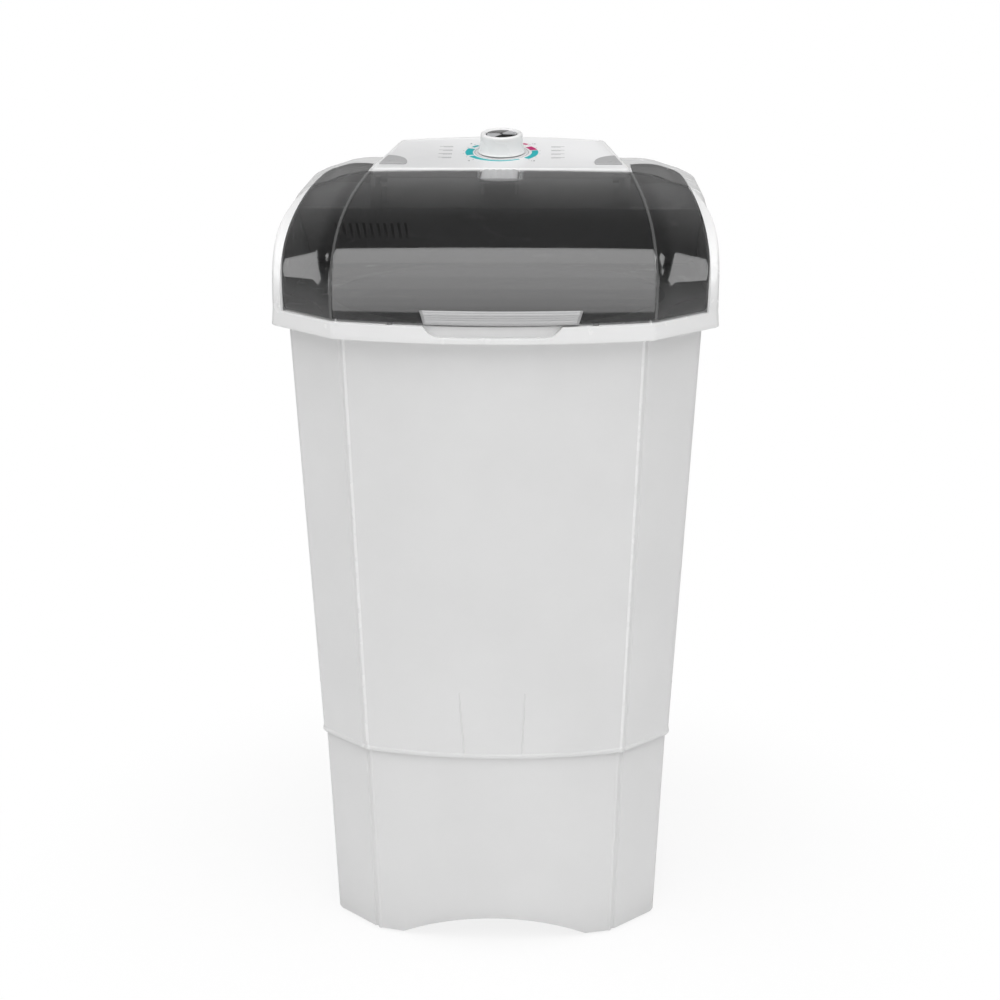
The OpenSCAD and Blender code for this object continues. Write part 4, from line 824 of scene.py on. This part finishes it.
# Inner and outer limits, at y, of the hole in the roof that the window fills
def window_in(y):
    points = [(q + WINDOW_GAP, x) for x, q in WINDOW_REAR[:5]]
    return along(points, y) if y > points[0][0] else points[0][1] - WINDOW_GAP


def window_out(y):
    points = [(q, x + WINDOW_GAP) for x, q in reversed(WINDOW_REAR[5:])]
    return along(points + [(WINDOW_END, WINDOW_PEAK)], y)


# Hood sections where the roof leaves room for the two windows
def open_sections():
    stations = [HOOD_FRONT, 75, 90, 105, 120, 134, 149, 157.5, 166, 175, 183.5, 190, 197, 201, WINDOW_END]
    outer, middle = [], []
    for y in stations:
        row = hood_half(y)
        wall = row[:ARM_ROWS + 1]
        if y == WINDOW_END:
            rim = row[ARM_ROWS + 1:ARM_ROWS + 5]
            half_row = row[ARM_ROWS + 4:]
        else:
            near = [mix(wall[-1][0], window_out(y), i / 4) for i in range(1, 5)]
            far = [mix(window_in(y), ROOF_X, i / 4) for i in range(5)]
            far += [ROOF_X * (1 - i / 10) for i in range(1, 11)]
            rim = [(x, y, roof_z(x, y)) for x in near]
            half_row = [(x, y, roof_z(x, y)) for x in far]
        outer.append(wall + rim)
        middle.append(half_row + flip(half_row[-2::-1]))
    return outer, middle


# Collar with the ledge below the lid, cut for the finger recess
def make_collar(outline, last):
    levels = [(0.0, 0.6), (0.3, 1.15), (1.2, 1.45), (6, 1.0), (12, 0.55), (COLLAR_H, 0.0)]
    sheet = loft([ring(offset_outline(outline, d), RIM_Z + rise) for rise, d in levels], caps=False)
    n = len(outline)
    inner = offset_outline(outline, -LEDGE)
    front = [(outline[i % n], inner[i % n]) for i in range(last, n - last + 1)]
    ledge = grid([[(mix(a[0], b[0], t), mix(a[1], b[1], t), FRAME_TOP) for a, b in front]
                  for t in (0.0, 0.5, 1.0)])
    collar = merged("top_frame_shell", [sheet, ledge], FRAME)
    solid(collar, FRAME_WALL, even=False)
    cut(collar, recess_cutter())
    return collar


# Arms and hood, as one sheet made solid
def make_hood():
    arm = [arm_row(i / ARM_ROWS) for i in range(ARM_ROWS + 1)]
    outer, middle = open_sections()
    rear_y = COLLAR_W - REAR_CUT
    ys = [WINDOW_END, 215, 225, rear_y]
    ys += [rear_y + step for step in (2.5, 5, 10, 15, 20, 24, 27, 30, 32, 33.5, 34.6, 35)]
    sections = []
    for y in ys:
        row = hood_half(y)
        sections.append(flip(row) + row[-2::-1])
    rear = sections[-1]
    floor_row = [(x, COLLAR_W, FRAME_TOP) for x in range(200, -201, -50)]
    back = (rear + floor_row, [tuple(range(len(rear) + len(floor_row)))])
    sheets = [grid(rows) for rows in (arm, mirror(arm), outer, mirror(outer), middle, sections)]
    hood = merged("hood", sheets + [back], FRAME)
    solid(hood, FRAME_WALL, even=False)
    return hood


def make_recess_lining():
    points, faces = grid([recess_path(depth) for depth in (1.2, 4.5, 8.3, RECESS_BACK)])
    back = recess_path(RECESS_BACK)
    m, base = len(back), len(points)
    points += back + [(x, y, FRAME_TOP - 0.5) for x, y, _ in back]
    faces += [(base + i, base + i + 1, base + m + i + 1, base + m + i) for i in range(m - 1)]
    lining = new_object("finger_recess", points, faces, FRAME)
    solid(lining, 1.5, even=False)
    shade(lining, 40)
    return lining


# Deck round the tub mouth
def make_deck(outline):
    deck = prism("deck", offset_outline(outline, -2.0), DECK_Z, DECK_TOP, FRAME)
    cut(deck, prism("cutter", circle(MOUTH_R, 160), 780, 830))
    soften(deck, 1.0, 3, 50)
    shade(deck, 34)
    return deck


# Wall between the lid's rear edge and the control housing
def make_inner_wall():
    top = PANEL_FOOT - 0.3
    corners = ((-PANEL_F, SHELF_Z), (PANEL_F, SHELF_Z), (PANEL_F, top), (-PANEL_F, top))
    rings = [[(x, y, z) for x, z in corners] for y in (PANEL_Y, PANEL_Y + 3.5)]
    wall = new_object("inner_wall", *loft(rings), FRAME)
    soften(wall, 0.6, 2, 50)
    shade(wall, 34)
    return wall


def add_frame():
    half, last = collar_half()
    outline = closed_from_half(half)
    shell = join("top_frame_shell", make_collar(outline, last), make_hood())
    shade(shell, 34)
    lining, deck, wall = make_recess_lining(), make_deck(outline), make_inner_wall()
    for obj in (shell, lining, deck, wall):
        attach(obj, "machine")
    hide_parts("top_frame", "frame_arm_left", "frame_arm_right", "rear_hood")
    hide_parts("tub_deck")
    add_windows()


# Fixed smoked windows beside the control housing, and the recess under each
def add_windows():
    xs = [mix(a[0], b[0], i / 3) for a, b in zip(WINDOW_REAR, WINDOW_REAR[1:]) for i in range(3)]
    xs.append(WINDOW_REAR[-1][0])
    path = [(169.5, 150), (178, 159), (200, 185), (215, 199), (228, 206), (245, 206), (262, 206)]
    for side, tag in ((-1, "left"), (1, "right")):
        rows = []
        for j in range(17):
            ys = [mix(WINDOW_FRONT, along(WINDOW_REAR, x), j / 16) for x in xs]
            rows.append([(side * x, y, roof_z(x, max(HOOD_FRONT, y))) for x, y in zip(xs, ys)])
        pane = new_object("window_" + tag, *grid(rows), SMOKED)
        turn_faces(pane, lambda f: f.normal.z)
        solid(pane, LID_WALL, even=False)
        shade(pane, 30)
        section = []
        for x, y in path:
            top = roof_z(x, y) - 4.5
            wall = ((y, SHELF_Z), (y + 2, SHELF_Z), (y + 2, top), (y, top))
            section.append([(side * x, v, z) for v, z in wall])
        back = new_object("recess_back", *loft(section), FRAME)
        floor = [(side * x, y) for x, y in [(169, 60.5), (262, 60.5)] + path[::-1]]
        shelf = prism("recess_shelf", floor, SHELF_Z - 2, SHELF_Z, FRAME)
        corners = ((167.5, SHELF_Z), (169.5, SHELF_Z), (169.5, 947.5), (167.5, 947.5))
        rings = [[(side * x, y, z) for x, z in corners] for y in (60.5, 152)]
        recess = join("recess_" + tag, back, shelf, new_object("cheek", *loft(rings), FRAME))
        shade(recess, 34)
        for obj, slot in ((pane, "smoked_lid"), (recess, "frame_white")):
            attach(obj, "machine")


# Faces of an open sheet turned over where they face against the sense that the function lean gives
def turn_faces(obj, lean):
    bm = bmesh.new()
    bm.from_mesh(obj.data)
    if sum(lean(f) * f.calc_area() for f in bm.faces) < 0:
        bmesh.ops.reverse_faces(bm, faces=bm.faces)
    bm.to_mesh(obj.data)
    bm.free()


# Lid
def lid_middle(f, t):
    c = bezier(CREASE, t)
    m = bezier(MIDDLE, t)
    return Vector((f * c.x, mix(m.y, c.y, f * f), mix(m.z, c.z, f * f)))


def lid_normal(f, t):
    e = 1e-3
    a = lid_middle(min(1.0, f + e), t) - lid_middle(f - e, t)
    b = lid_middle(f, t + e) - lid_middle(f, max(0.0, t - e))
    return a.cross(b).normalized()


# Height over the facet's chord: straight first, then rounded towards the crease
def facet_crown(f):
    start = 0.72
    if f < start:
        return f / start
    u = (f - start) / (1 - start)
    m = (1 - start) / start
    return 1 + m * u - (1 + m) * u * u


def lid_row(t):
    edge = bezier(LID_EDGE, t)
    crease = bezier(CREASE, t)
    rise = edge.z - LID_Z
    if rise < 6:
        edge += (crease - edge).normalized() * (6 - math.sqrt(max(0.0, 36 - (6 - rise) ** 2)))
    inner = lid_middle(0.9, t)
    soft = chamfer3(crease, edge, inner, 2.2, 1.0)
    run = bezier(CREASE, min(1.0, t + 0.01)) - bezier(CREASE, max(0.0, t - 0.01))
    out = (crease - edge).cross(run).normalized()
    out *= FACET_CROWN * min(1.0, rise / 30) * (1 if out.x > 0 else -1)
    side = [edge.lerp(soft[0], i / 20) + out * facet_crown(i / 20) for i in range(20)]
    f0 = soft[-1].x / crease.x
    middle = [lid_middle(f0 * (1 - i / 22), t) for i in range(1, 23)]
    half = side + soft + middle
    return half + flip(half[-2::-1])


# The crease itself, a narrow band given a lighter, less clear smoke as a painted highlight
def paint_lid_crease_highlight(obj):
    obj.data.materials.append(SMOKED_PAINTED_HIGHLIGHT)
    rows = [bezier(CREASE, k / 200) for k in range(201)]
    for polygon in obj.data.polygons:
        p = polygon.center
        q = Vector((abs(p.x) / MM, p.y / MM - SHIFT_Y, p.z / MM))
        if min((q - r).length for r in rows) < 2.0:
            polygon.material_index = 1


def add_lid():
    steps = [0, 0.002, 0.005, 0.009, 0.015, 0.022, 0.03] + [mix(0.03, 1.0, i / 60) for i in range(1, 61)]
    shell = new_object("lid", *grid([lid_row(t) for t in steps]), SMOKED)
    # Painted highlight: the band along the crease takes the lighter smoke
    paint_lid_crease_highlight(shell)
    solid(shell, LID_WALL, even=True)
    w, tip = SPOUT_HALF + 2, SPOUT_TIP - 2
    turns = [math.pi / 2 * i / 8 for i in range(9)]
    corner = [(w - 7 + 7 * math.sin(a), tip + 7 - 7 * math.cos(a)) for a in turns]
    outline = flip(corner[::-1]) + corner + [(w, 80), (-w, 80)]
    cut(shell, prism("cutter", outline, 900, 1000))
    soften(shell, 0.7, 3, 45)
    shade(shell, 30)
    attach(shell, "lid")
    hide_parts("lid_shell")
    add_lugs()
    add_handle()


# Hinge lugs under the lid's rear edge
def add_lugs():
    turns = [math.radians(v) for v in range(180, 361, 15)]
    top = ROOF_Z - 3.2
    profile = [(HINGE_Y - 5, top)] + [(HINGE_Y + 5 * math.cos(a), HINGE_Z + 5 * math.sin(a)) for a in turns]
    profile.append((HINGE_Y + 4.5, top))
    for side in (-1, 1):
        x0 = side * HINGE_X
        rings = [[(x0 + x, y, z) for y, z in profile] for x in (-4, 4)]
        lug = new_object("lid_lug_left" if side < 0 else "lid_lug_right", *loft(rings), FRAME)
        bore = [[(x0 + x, HINGE_Y + u, HINGE_Z + v) for u, v in circle(2.55, 24)] for x in (-8, 8)]
        cut(lug, new_object("cutter", *loft(bore), SMOKED))
        soften(lug, 0.4, 2, 50)
        shade(lug, 34)
        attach(lug, "lid")


def add_handle():
    height = 13.5
    # Cross-section: share of the height, and how far it stands out
    section = [(0.0, 0.3), (0.0, 4.6), (0.03, 5.4), (0.08, 5.8)]
    for k in range(4):
        a = 0.10 + 0.165 * k
        section += [(a, 5.9), (a + 0.03, 5.95), (a + 0.12, 5.85), (a + 0.14, 5.5), (a + 0.155, 5.45)]
    section += [(0.78, 5.2), (0.86, 5.5), (0.93, 5.2), (0.98, 4.4), (1.0, 3.2), (1.0, 0.3)]
    rings = []
    stations = 48
    for k in range(stations + 1):
        ring_points = []
        for v, out in section:
            t = v * height / (3 * 95.0) * 1.04
            c = bezier(CREASE, t)
            half = 90 + 5 * v
            s = k / stations
            x = mix(10 - half, 10 + half, s)
            end = min(s, 1 - s) * 2 * half
            trim = 1.0 if end > 3 else math.sqrt(max(0.05, 1 - (1 - end / 3) ** 2))
            p = lid_middle(x / c.x, t) + lid_normal(x / c.x, t) * (0.3 + (out - 0.3) * trim)
            p.z = max(p.z, LID_Z + 0.05) - 1.5 * max(0.0, 1 - v / 0.3)
            ring_points.append(p)
        rings.append(ring_points)
    points, faces = loft(rings)
    handle = new_object("lid_handle_grip", points, faces, HANDLE)
    shade(handle, 40)
    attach(handle, "lid")
    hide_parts("lid_handle")


# Control panel and dial
def panel_z(y):
    return PANEL_Z0 + (y - PANEL_Y) * math.tan(PANEL_TILT)


def on_panel(x, v, h, y=DIAL_Y):
    c, s = math.cos(PANEL_TILT), math.sin(PANEL_TILT)
    return (x, y + v * c - h * s, panel_z(y) + v * s + h * c)


FACE_DEPTH, PRINT_H = 0.5, 0.14


def add_panel():
    levels = [(0.0, 2.6), (0.15, 1.6), (0.5, 0.9), (1.1, 0.35), (2.0, 0.05), (3.0, 0.0), (4.4, 0.0),
              (5.0, 0.12), (5.3, 0.35), (5.5, FACE_DEPTH)]
    inner, edge = panel_outline(3), panel_outline(0.0)
    rings = [[(x, y, panel_z(y) - 3) for x, y in inner]]
    rings += [ring(inner, PANEL_FOOT), ring(edge, PANEL_FOOT)]
    rings += [[(x, y, panel_z(y) - below) for x, y in panel_outline(inset)] for inset, below in levels]
    points, faces = loft(rings, caps=False)
    n = len(edge)
    faces.append(tuple(range(n)))
    faces.append(tuple((len(rings) - 1) * n + i for i in range(n)))
    body = new_object("control_panel_body", points, faces, PANEL)
    body.data.materials.append(PANEL_FACE)
    for polygon in body.data.polygons:
        if len(polygon.vertices) > 8 and polygon.center.z > panel_z(100) * MM:
            polygon.material_index = 1
    bosses = []
    for x in (-34, 34):
        bosses.append(revolve("boss", [(1.5, -9), (4, -9), (4, -2.9)], PANEL,
                              lambda a, b, h, x=x: on_panel(x + a, b, h), 32))
    body = join("control_panel_body", body, *bosses)
    shade(body, 34)
    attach(body, "machine")
    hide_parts("control_panel")
    add_caps()
    add_print()
    add_knob()


# Grey caps in the panel's front corners; their outer edge follows the panel's slanted side
def add_caps():
    centre_y = PANEL_Y + CAP_R
    start = math.asin(-10 / CAP_R)
    outline = []
    for i in range(45):
        a = mix(start, math.pi - start, i / 44)
        v = CAP_R * math.sin(a)
        edge = mix(PANEL_F, PANEL_R, (centre_y + v - PANEL_Y) / PANEL_D) - 5.6
        outline.append((min(CAP_R * math.cos(a), edge - CAP_X), v))
    mid_u = sum(p[0] for p in outline) / len(outline)
    mid_v = sum(p[1] for p in outline) / len(outline)
    levels = ((0.0, -0.4), (0.0, 0.7), (0.25, 1.15), (0.8, 1.45), (1.6, 1.55), (2.6, 1.5))
    dot_profile = [(4.2, 1.2), (4.0, 1.8), (3.4, 2.15), (2.2, 2.3), (0.0, 2.35)]
    for side in (-1, 1):
        def place(u, v, h):
            return on_panel(side * (CAP_X + u), v, h, centre_y)

        rings = [[place(mix(u, mid_u, shrink / 22), mix(v, mid_v, shrink / 16), h) for u, v in outline]
                 for shrink, h in levels]
        cap = new_object("cap_left" if side < 0 else "cap_right", *loft(rings), TRIM)
        dot = revolve("dot", dot_profile, TRIM, lambda a, b, h: place(mid_u + a, 1.5 + b * 0.85, h), 40)
        cap = join(cap.name, cap, dot)
        shade(cap, 36)
        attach(cap, "machine")
        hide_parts("panel_cap_left" if side < 0 else "panel_cap_right")


# Faces of a ribbon with n points along each edge: its two edges on top, then the same two below
def ribbon_faces(n):
    faces = []
    for i in range(n - 1):
        faces += [(i, i + 1, n + i + 1, n + i), (2 * n + i, 3 * n + i, 3 * n + i + 1, 2 * n + i + 1),
                  (i, 2 * n + i, 2 * n + i + 1, i + 1), (n + i, n + i + 1, 3 * n + i + 1, 3 * n + i)]
    return faces + [(0, n, 3 * n, 2 * n), (n - 1, 3 * n - 1, 4 * n - 1, 2 * n - 1)]


def strip(name, inner, outer, material):
    levels = (PRINT_H - FACE_DEPTH, -FACE_DEPTH - 0.05)
    points = [on_panel(p[0], p[1], h) for h in levels for line in (inner, outer) for p in line]
    return new_object(name, points, ribbon_faces(len(inner)), material)


def arc(name, a0, a1, r0, r1, material, r2=None):
    steps = max(4, int(abs(a1 - a0) / 3))
    inner, outer = [], []
    for i in range(steps + 1):
        t = i / steps
        a = math.radians(mix(a0, a1, t))
        inner.append((r0 * math.cos(a), r0 * math.sin(a)))
        r = r1 if r2 is None else mix(r1, r2, t)
        outer.append((r * math.cos(a), r * math.sin(a)))
    return strip(name, inner, outer, material)


def add_number(text, x, v, size):
    curve = set_values(bpy.data.curves.new("number", "FONT"), body=text, size=size, align_x="CENTER",
                       align_y="CENTER", resolution_u=3)
    obj = add_object("number", curve)
    bpy.context.view_layer.update()
    view = bpy.context.evaluated_depsgraph_get()
    mesh = bpy.data.meshes.new_from_object(obj.evaluated_get(view))
    bm = bmesh.new()
    bm.from_mesh(mesh)
    faces = bmesh.ops.extrude_face_region(bm, geom=bm.faces)
    moved = [g for g in faces["geom"] if isinstance(g, bmesh.types.BMVert)]
    for vert in moved:
        vert.co.z += 0.2
    bmesh.ops.recalc_face_normals(bm, faces=bm.faces)
    for vert in bm.verts:
        vert.co = at(on_panel(x + vert.co.x, v + vert.co.y, -FACE_DEPTH - 0.06 + vert.co.z))
    bm.to_mesh(mesh)
    bm.free()
    bpy.data.objects.remove(obj, do_unlink=True)
    mesh.materials.clear()
    mesh.materials.append(INK)
    return add_object("number", mesh)


def add_print():
    teal = [arc("a", 157, 199, 38.5, 48.5, TEAL), arc("b", 206, 306, 39.5, 47.5, TEAL, 42.5),
            arc("c", -42, 12, 40.5, 49, TEAL), arc("d", 134, 148, 43.5, 48.5, TEAL)]
    colour = join("dial_print_teal", *teal)
    pink = join("dial_print_magenta", arc("a", 15, 37, 39.5, 49, MAGENTA),
                arc("b", 49, 59, 49, 54.5, MAGENTA))
    ink = [arc("ring", 0, 360, 35.6, 36.1, INK)]
    for i in range(16):
        a = math.radians(225 - i * 18)
        r0, r1 = (50.5, 54.0) if i % 5 == 0 else (50.5, 52.6)
        c, s = math.cos(a), math.sin(a)
        ink.append(strip("tick", [(r0 * c - 0.3 * s, r0 * s + 0.3 * c), (r1 * c - 0.3 * s, r1 * s + 0.3 * c)],
                         [(r0 * c + 0.3 * s, r0 * s - 0.3 * c), (r1 * c + 0.3 * s, r1 * s - 0.3 * c)], INK))
    for i, text in ((0, "0"), (5, "5"), (10, "10"), (15, "15")):
        a = math.radians(225 - i * 18)
        ink.append(add_number(text, 59.5 * math.cos(a), 59.5 * math.sin(a), 6.4))
    for v in (-27, -9, 9, 27):
        for x0, x1 in ((-84, -66), (66, 84)):
            for dv, length in ((1.6, 1.0), (-1.6, 0.7)):
                x_end = mix(x0, x1, length) if x0 > 0 else x1
                x_start = x0 if x0 > 0 else mix(x1, x0, length)
                ink.append(strip("bar", [(x_start, v + dv - 0.4), (x_end, v + dv - 0.4)],
                                 [(x_start, v + dv + 0.4), (x_end, v + dv + 0.4)], INK))
    lines = join("dial_print_grey", *ink)
    for obj in (colour, pink, lines):
        shade(obj, 30)
        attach(obj, "machine")


# One chromed wing of the dial's insert, about the angle turn
def make_bow(turn):
    steps = 18
    lines = []
    for r, spread in ((19.9, 34), (2.4, 60)):
        angles = [math.radians(mix(-spread, spread, i / steps) + turn) for i in range(steps + 1)]
        lines.append([(r * math.cos(a), r * math.sin(a)) for a in angles])
    rim, core = lines
    levels = ((rim, 24.55), (core, 24.8), (rim, 24.2), (core, 24.2))
    points = [on_panel(u, v, h) for line, h in levels for u, v in line]
    return new_object("bow", points, ribbon_faces(steps + 1), CHROME)


def add_knob():
    profile = [(0.0, 0.9), (26.0, 0.9), (30.6, 0.95), (31.6, 1.15), (31.7, 1.6), (31.3, 2.1), (30.7, 3.2),
               (30.2, 4.6)]
    profile += [(28.0 + 2.2 * (1 - k / 6) ** 2, mix(4.6, 22.5, k / 6)) for k in range(1, 7)]
    profile += [(27.9, 23.6), (27.5, 24.6), (26.8, 25.4), (25.8, 25.95), (24.6, 26.1), (23.2, 25.95),
                (22.2, 25.5), (21.4, 24.9), (21.0, 24.3), (20.95, 23.2), (0.0, 23.2)]
    knob = revolve("knob_body", profile, KNOB, on_panel, 144)
    shade(knob, 36)
    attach(knob, "knob")
    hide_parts("timer_knob")
    disc = revolve("disc", [(20.7, 23.3), (20.65, 24.1), (20.3, 24.3), (0.0, 24.3)], BLACK, on_panel, 96)
    insert = join("knob_badge", disc, make_bow(25), make_bow(205))
    shade(insert, 30)
    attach(insert, "knob")
    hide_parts("knob_insert")


# Inlet spout
def add_spout():
    low = PANEL_FOOT - 12 - 7 - 2
    top = ROOF_Z + 2.1
    tip_top = ROOF_Z - 0.4
    half = SPOUT_HALF
    edge_xs = [half, half - 0.6, half - 1.8, half - 4]
    xs = [-x for x in edge_xs] + [mix(-half + 5, half - 5, i / 26) for i in range(27)] + edge_xs[::-1]

    # Shallow flutes run along the top of the spout
    def lift(x):
        edge = half - abs(x)
        roll = -2.4 * (1 - min(1.0, edge / 4.0)) ** 2
        flute = 0.45 * math.cos(x / 4.3 * math.pi) if edge > 4.5 else 0.0
        return roll + flute - 0.45

    def nose(x):
        edge = half - abs(x)
        return 0.0 if edge >= 6 else 6 - math.sqrt(max(0.0, 36 - (6 - edge) ** 2))

    stations = [(0.0, -4.6), (0.35, -2.6), (1.0, -1.3), (2.2, -0.45), (4.0, -0.1), (8.0, 0.0), (20.0, 0.0),
                (35.0, 0.0), (50.0, 0.0), (62.0, 0.0), (69.7, 0.0)]
    rows = []
    for s, dz in stations:
        row = []
        for x in xs:
            y = min(SPOUT_TIP + s + nose(x) * (1 - s / 70.0), SPOUT_BACK)
            z = mix(tip_top, top, s / 69.7) + dz + lift(x) * min(1.0, 0.35 + s / 6)
            row.append((x, y, z))
        rows.append(row)
    for s, z in ((69.7, low), (60.0, low), (57.0, tip_top - 9), (0.0, tip_top - 5)):
        rows.append([(x, min(SPOUT_TIP + s + nose(x), SPOUT_BACK), z) for x in xs])
    n, m = len(xs), len(rows)
    faces = []
    for j in range(m):
        l = (j + 1) % m
        faces += [(j * n + i, j * n + i + 1, l * n + i + 1, l * n + i) for i in range(n - 1)]
    faces.append(tuple(j * n for j in range(m)))
    faces.append(tuple(j * n + n - 1 for j in reversed(range(m))))
    spout = new_object("spout", [p for row in rows for p in row], faces, TRIM)
    w = half - 2.2
    inside = [(SPOUT_TIP + 5, tip_top - 3.5), (SPOUT_TIP + 5, tip_top - 20), (SPOUT_TIP + 29, tip_top - 20),
              (SPOUT_TIP + 29, tip_top - 5.8), (SPOUT_BACK - 8, tip_top - 7), (SPOUT_BACK - 8, low + 2.2),
              (SPOUT_BACK - 2.2, low + 2.2), (SPOUT_BACK - 2.2, top - 4)]
    mouth = new_object("cutter", *loft([[(x, y, z) for y, z in inside] for x in (-w, w)]), TRIM)
    pipe = [[(u, y, PANEL_FOOT - 12 + v) for u, v in circle(7.3, 32)] for y in (53.0, 62.0)]
    cut(spout, mouth, new_object("cutter", *loft(pipe), TRIM))
    spout.data.materials.append(FRAME)
    for polygon in spout.data.polygons:
        if polygon.center.z < (tip_top - 9.2) * MM:
            polygon.material_index = 1
    shade(spout, 36)
    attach(spout, "machine")
    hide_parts("inlet_spout")


def dress_nodes():
    for name, material in NODE_MATERIALS.items():
        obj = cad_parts.get(name)
        if obj is None:
            continue
        obj.data.materials.clear()
        obj.data.materials.append(material)


# Floor, lights and background
def add_floor():
    mesh = bpy.data.meshes.new("floor")
    mesh.from_pydata([(-30, -30, 0), (30, -30, 0), (30, 30, 0), (-30, 30, 0)], [], [(0, 1, 2, 3)])
    floor = add_object("floor", mesh)
    n = Nodes("floor paint")
    feed(n.shader, {"Base Color": rgba(grey(0.92)), "Roughness": 0.9, "Specular IOR Level": 0.1})
    fine = n.noise(120.0, 2.0)
    n.bump(fine.outputs["Fac"], 0.02, 0.0005)
    glow = feed(n.new("ShaderNodeEmission"), {"Color": (1, 1, 1, 1), "Strength": 1.0})
    length = n.new("ShaderNodeVectorMath", operation="LENGTH")
    n.link(n.coords.outputs["Object"], length.inputs[0])
    far = map_range(n.tree, length.outputs["Value"], 0.25, 0.75, 0.85, 1.0)
    far.node.interpolation_type = "SMOOTHSTEP"
    path = n.new("ShaderNodeLightPath")
    seen = n.new("ShaderNodeMath", operation="MULTIPLY")
    n.link(far, seen.inputs[0])
    n.link(path.outputs["Is Camera Ray"], seen.inputs[1])
    blend = add_switch(n.tree, seen.outputs["Value"], n.shader, glow)
    n.link(blend.outputs["Shader"], n.tree.nodes["Material Output"].inputs["Surface"])
    mesh.materials.append(n.material)


def add_area(name, centre, target, size_x, size_y, radiance):
    data = set_values(bpy.data.lights.new(name, "AREA"), shape="RECTANGLE", size=size_x, size_y=size_y,
                      energy=radiance * math.pi * size_x * size_y)
    lamp = add_object(name, data)
    lamp.location = centre
    lamp.rotation_euler = (Vector(target) - Vector(centre)).to_track_quat("-Z", "Y").to_euler()
    return lamp


def add_background(tree, strength):
    return feed(tree.nodes.new("ShaderNodeBackground"), {"Color": (1, 1, 1, 1), "Strength": strength})


# Shader that is the second one by the share that ray gives, and the first one otherwise
def add_switch(tree, ray, first, second):
    node = tree.nodes.new("ShaderNodeMixShader")
    tree.links.new(ray, node.inputs["Fac"])
    tree.links.new(first.outputs[0], node.inputs[1])
    tree.links.new(second.outputs[0], node.inputs[2])
    return node


# White to the camera, a plain fill, and for reflections a glow low over the horizon
def add_world():
    world = bpy.data.worlds.new("studio")
    bpy.context.scene.world = world
    world.use_nodes = True
    tree = world.node_tree
    tree.nodes.clear()
    out = tree.nodes.new("ShaderNodeOutputWorld")
    coords = tree.nodes.new("ShaderNodeTexCoord")
    split = tree.nodes.new("ShaderNodeSeparateXYZ")
    tree.links.new(coords.outputs["Generated"], split.inputs["Vector"])
    level = map_range(tree, split.outputs["Z"], 0.0, 0.72, 0.40, 0.02)
    white = add_background(tree, 1.0)
    fill = add_background(tree, 0.42)
    shine = add_background(tree, 1.0)
    tree.links.new(level, shine.inputs["Strength"])
    path = tree.nodes.new("ShaderNodeLightPath")
    light = add_switch(tree, path.outputs["Is Glossy Ray"], fill, shine)
    seen = add_switch(tree, path.outputs["Is Camera Ray"], light, white)
    tree.links.new(seen.outputs["Shader"], out.inputs["Surface"])


def add_lights():
    # A large softbox overhead in strips, wider and softer towards the front
    strips = 6
    for i in range(strips):
        y0, y1 = mix(0.16, -3.35, i / strips), mix(0.16, -3.35, (i + 1) / strips)
        half = mix(1.25, 3.1, ((i + 1) / strips) ** 1.2)
        add_area("overhead_%d" % i, (0.0, (y0 + y1) / 2, 2.7), (0.0, (y0 + y1) / 2, 0.0), 2 * half, y0 - y1,
                 mix(2.25, 1.1, i / (strips - 1)))
    # Side lamps: one pair for the reflections in the lid, one softer pair for the white plastic
    for side, tag in ((-1, "left"), (1, "right")):
        place, target = (side * 2.85, 0.40, 2.33), (side * 0.28, -0.15, 0.88)
        add_area(tag + "_shine", place, target, 2.0, 0.95, 1.9).visible_diffuse = False
        add_area(tag + "_soft", place, target, 2.0, 0.95, 1.45).visible_glossy = False
    front = add_area("front", (0.0, -4.6, 1.3), (0.0, 0.0, 0.5), 3.2, 2.2, 0.55)
    front.visible_glossy = False


add_camera()
add_world()
add_lights()
add_floor()
add_cabinet()
add_base()
add_frame()
add_lid()
add_panel()
add_spout()
dress_nodes()

bpy.context.scene.view_settings.view_transform = "Standard"
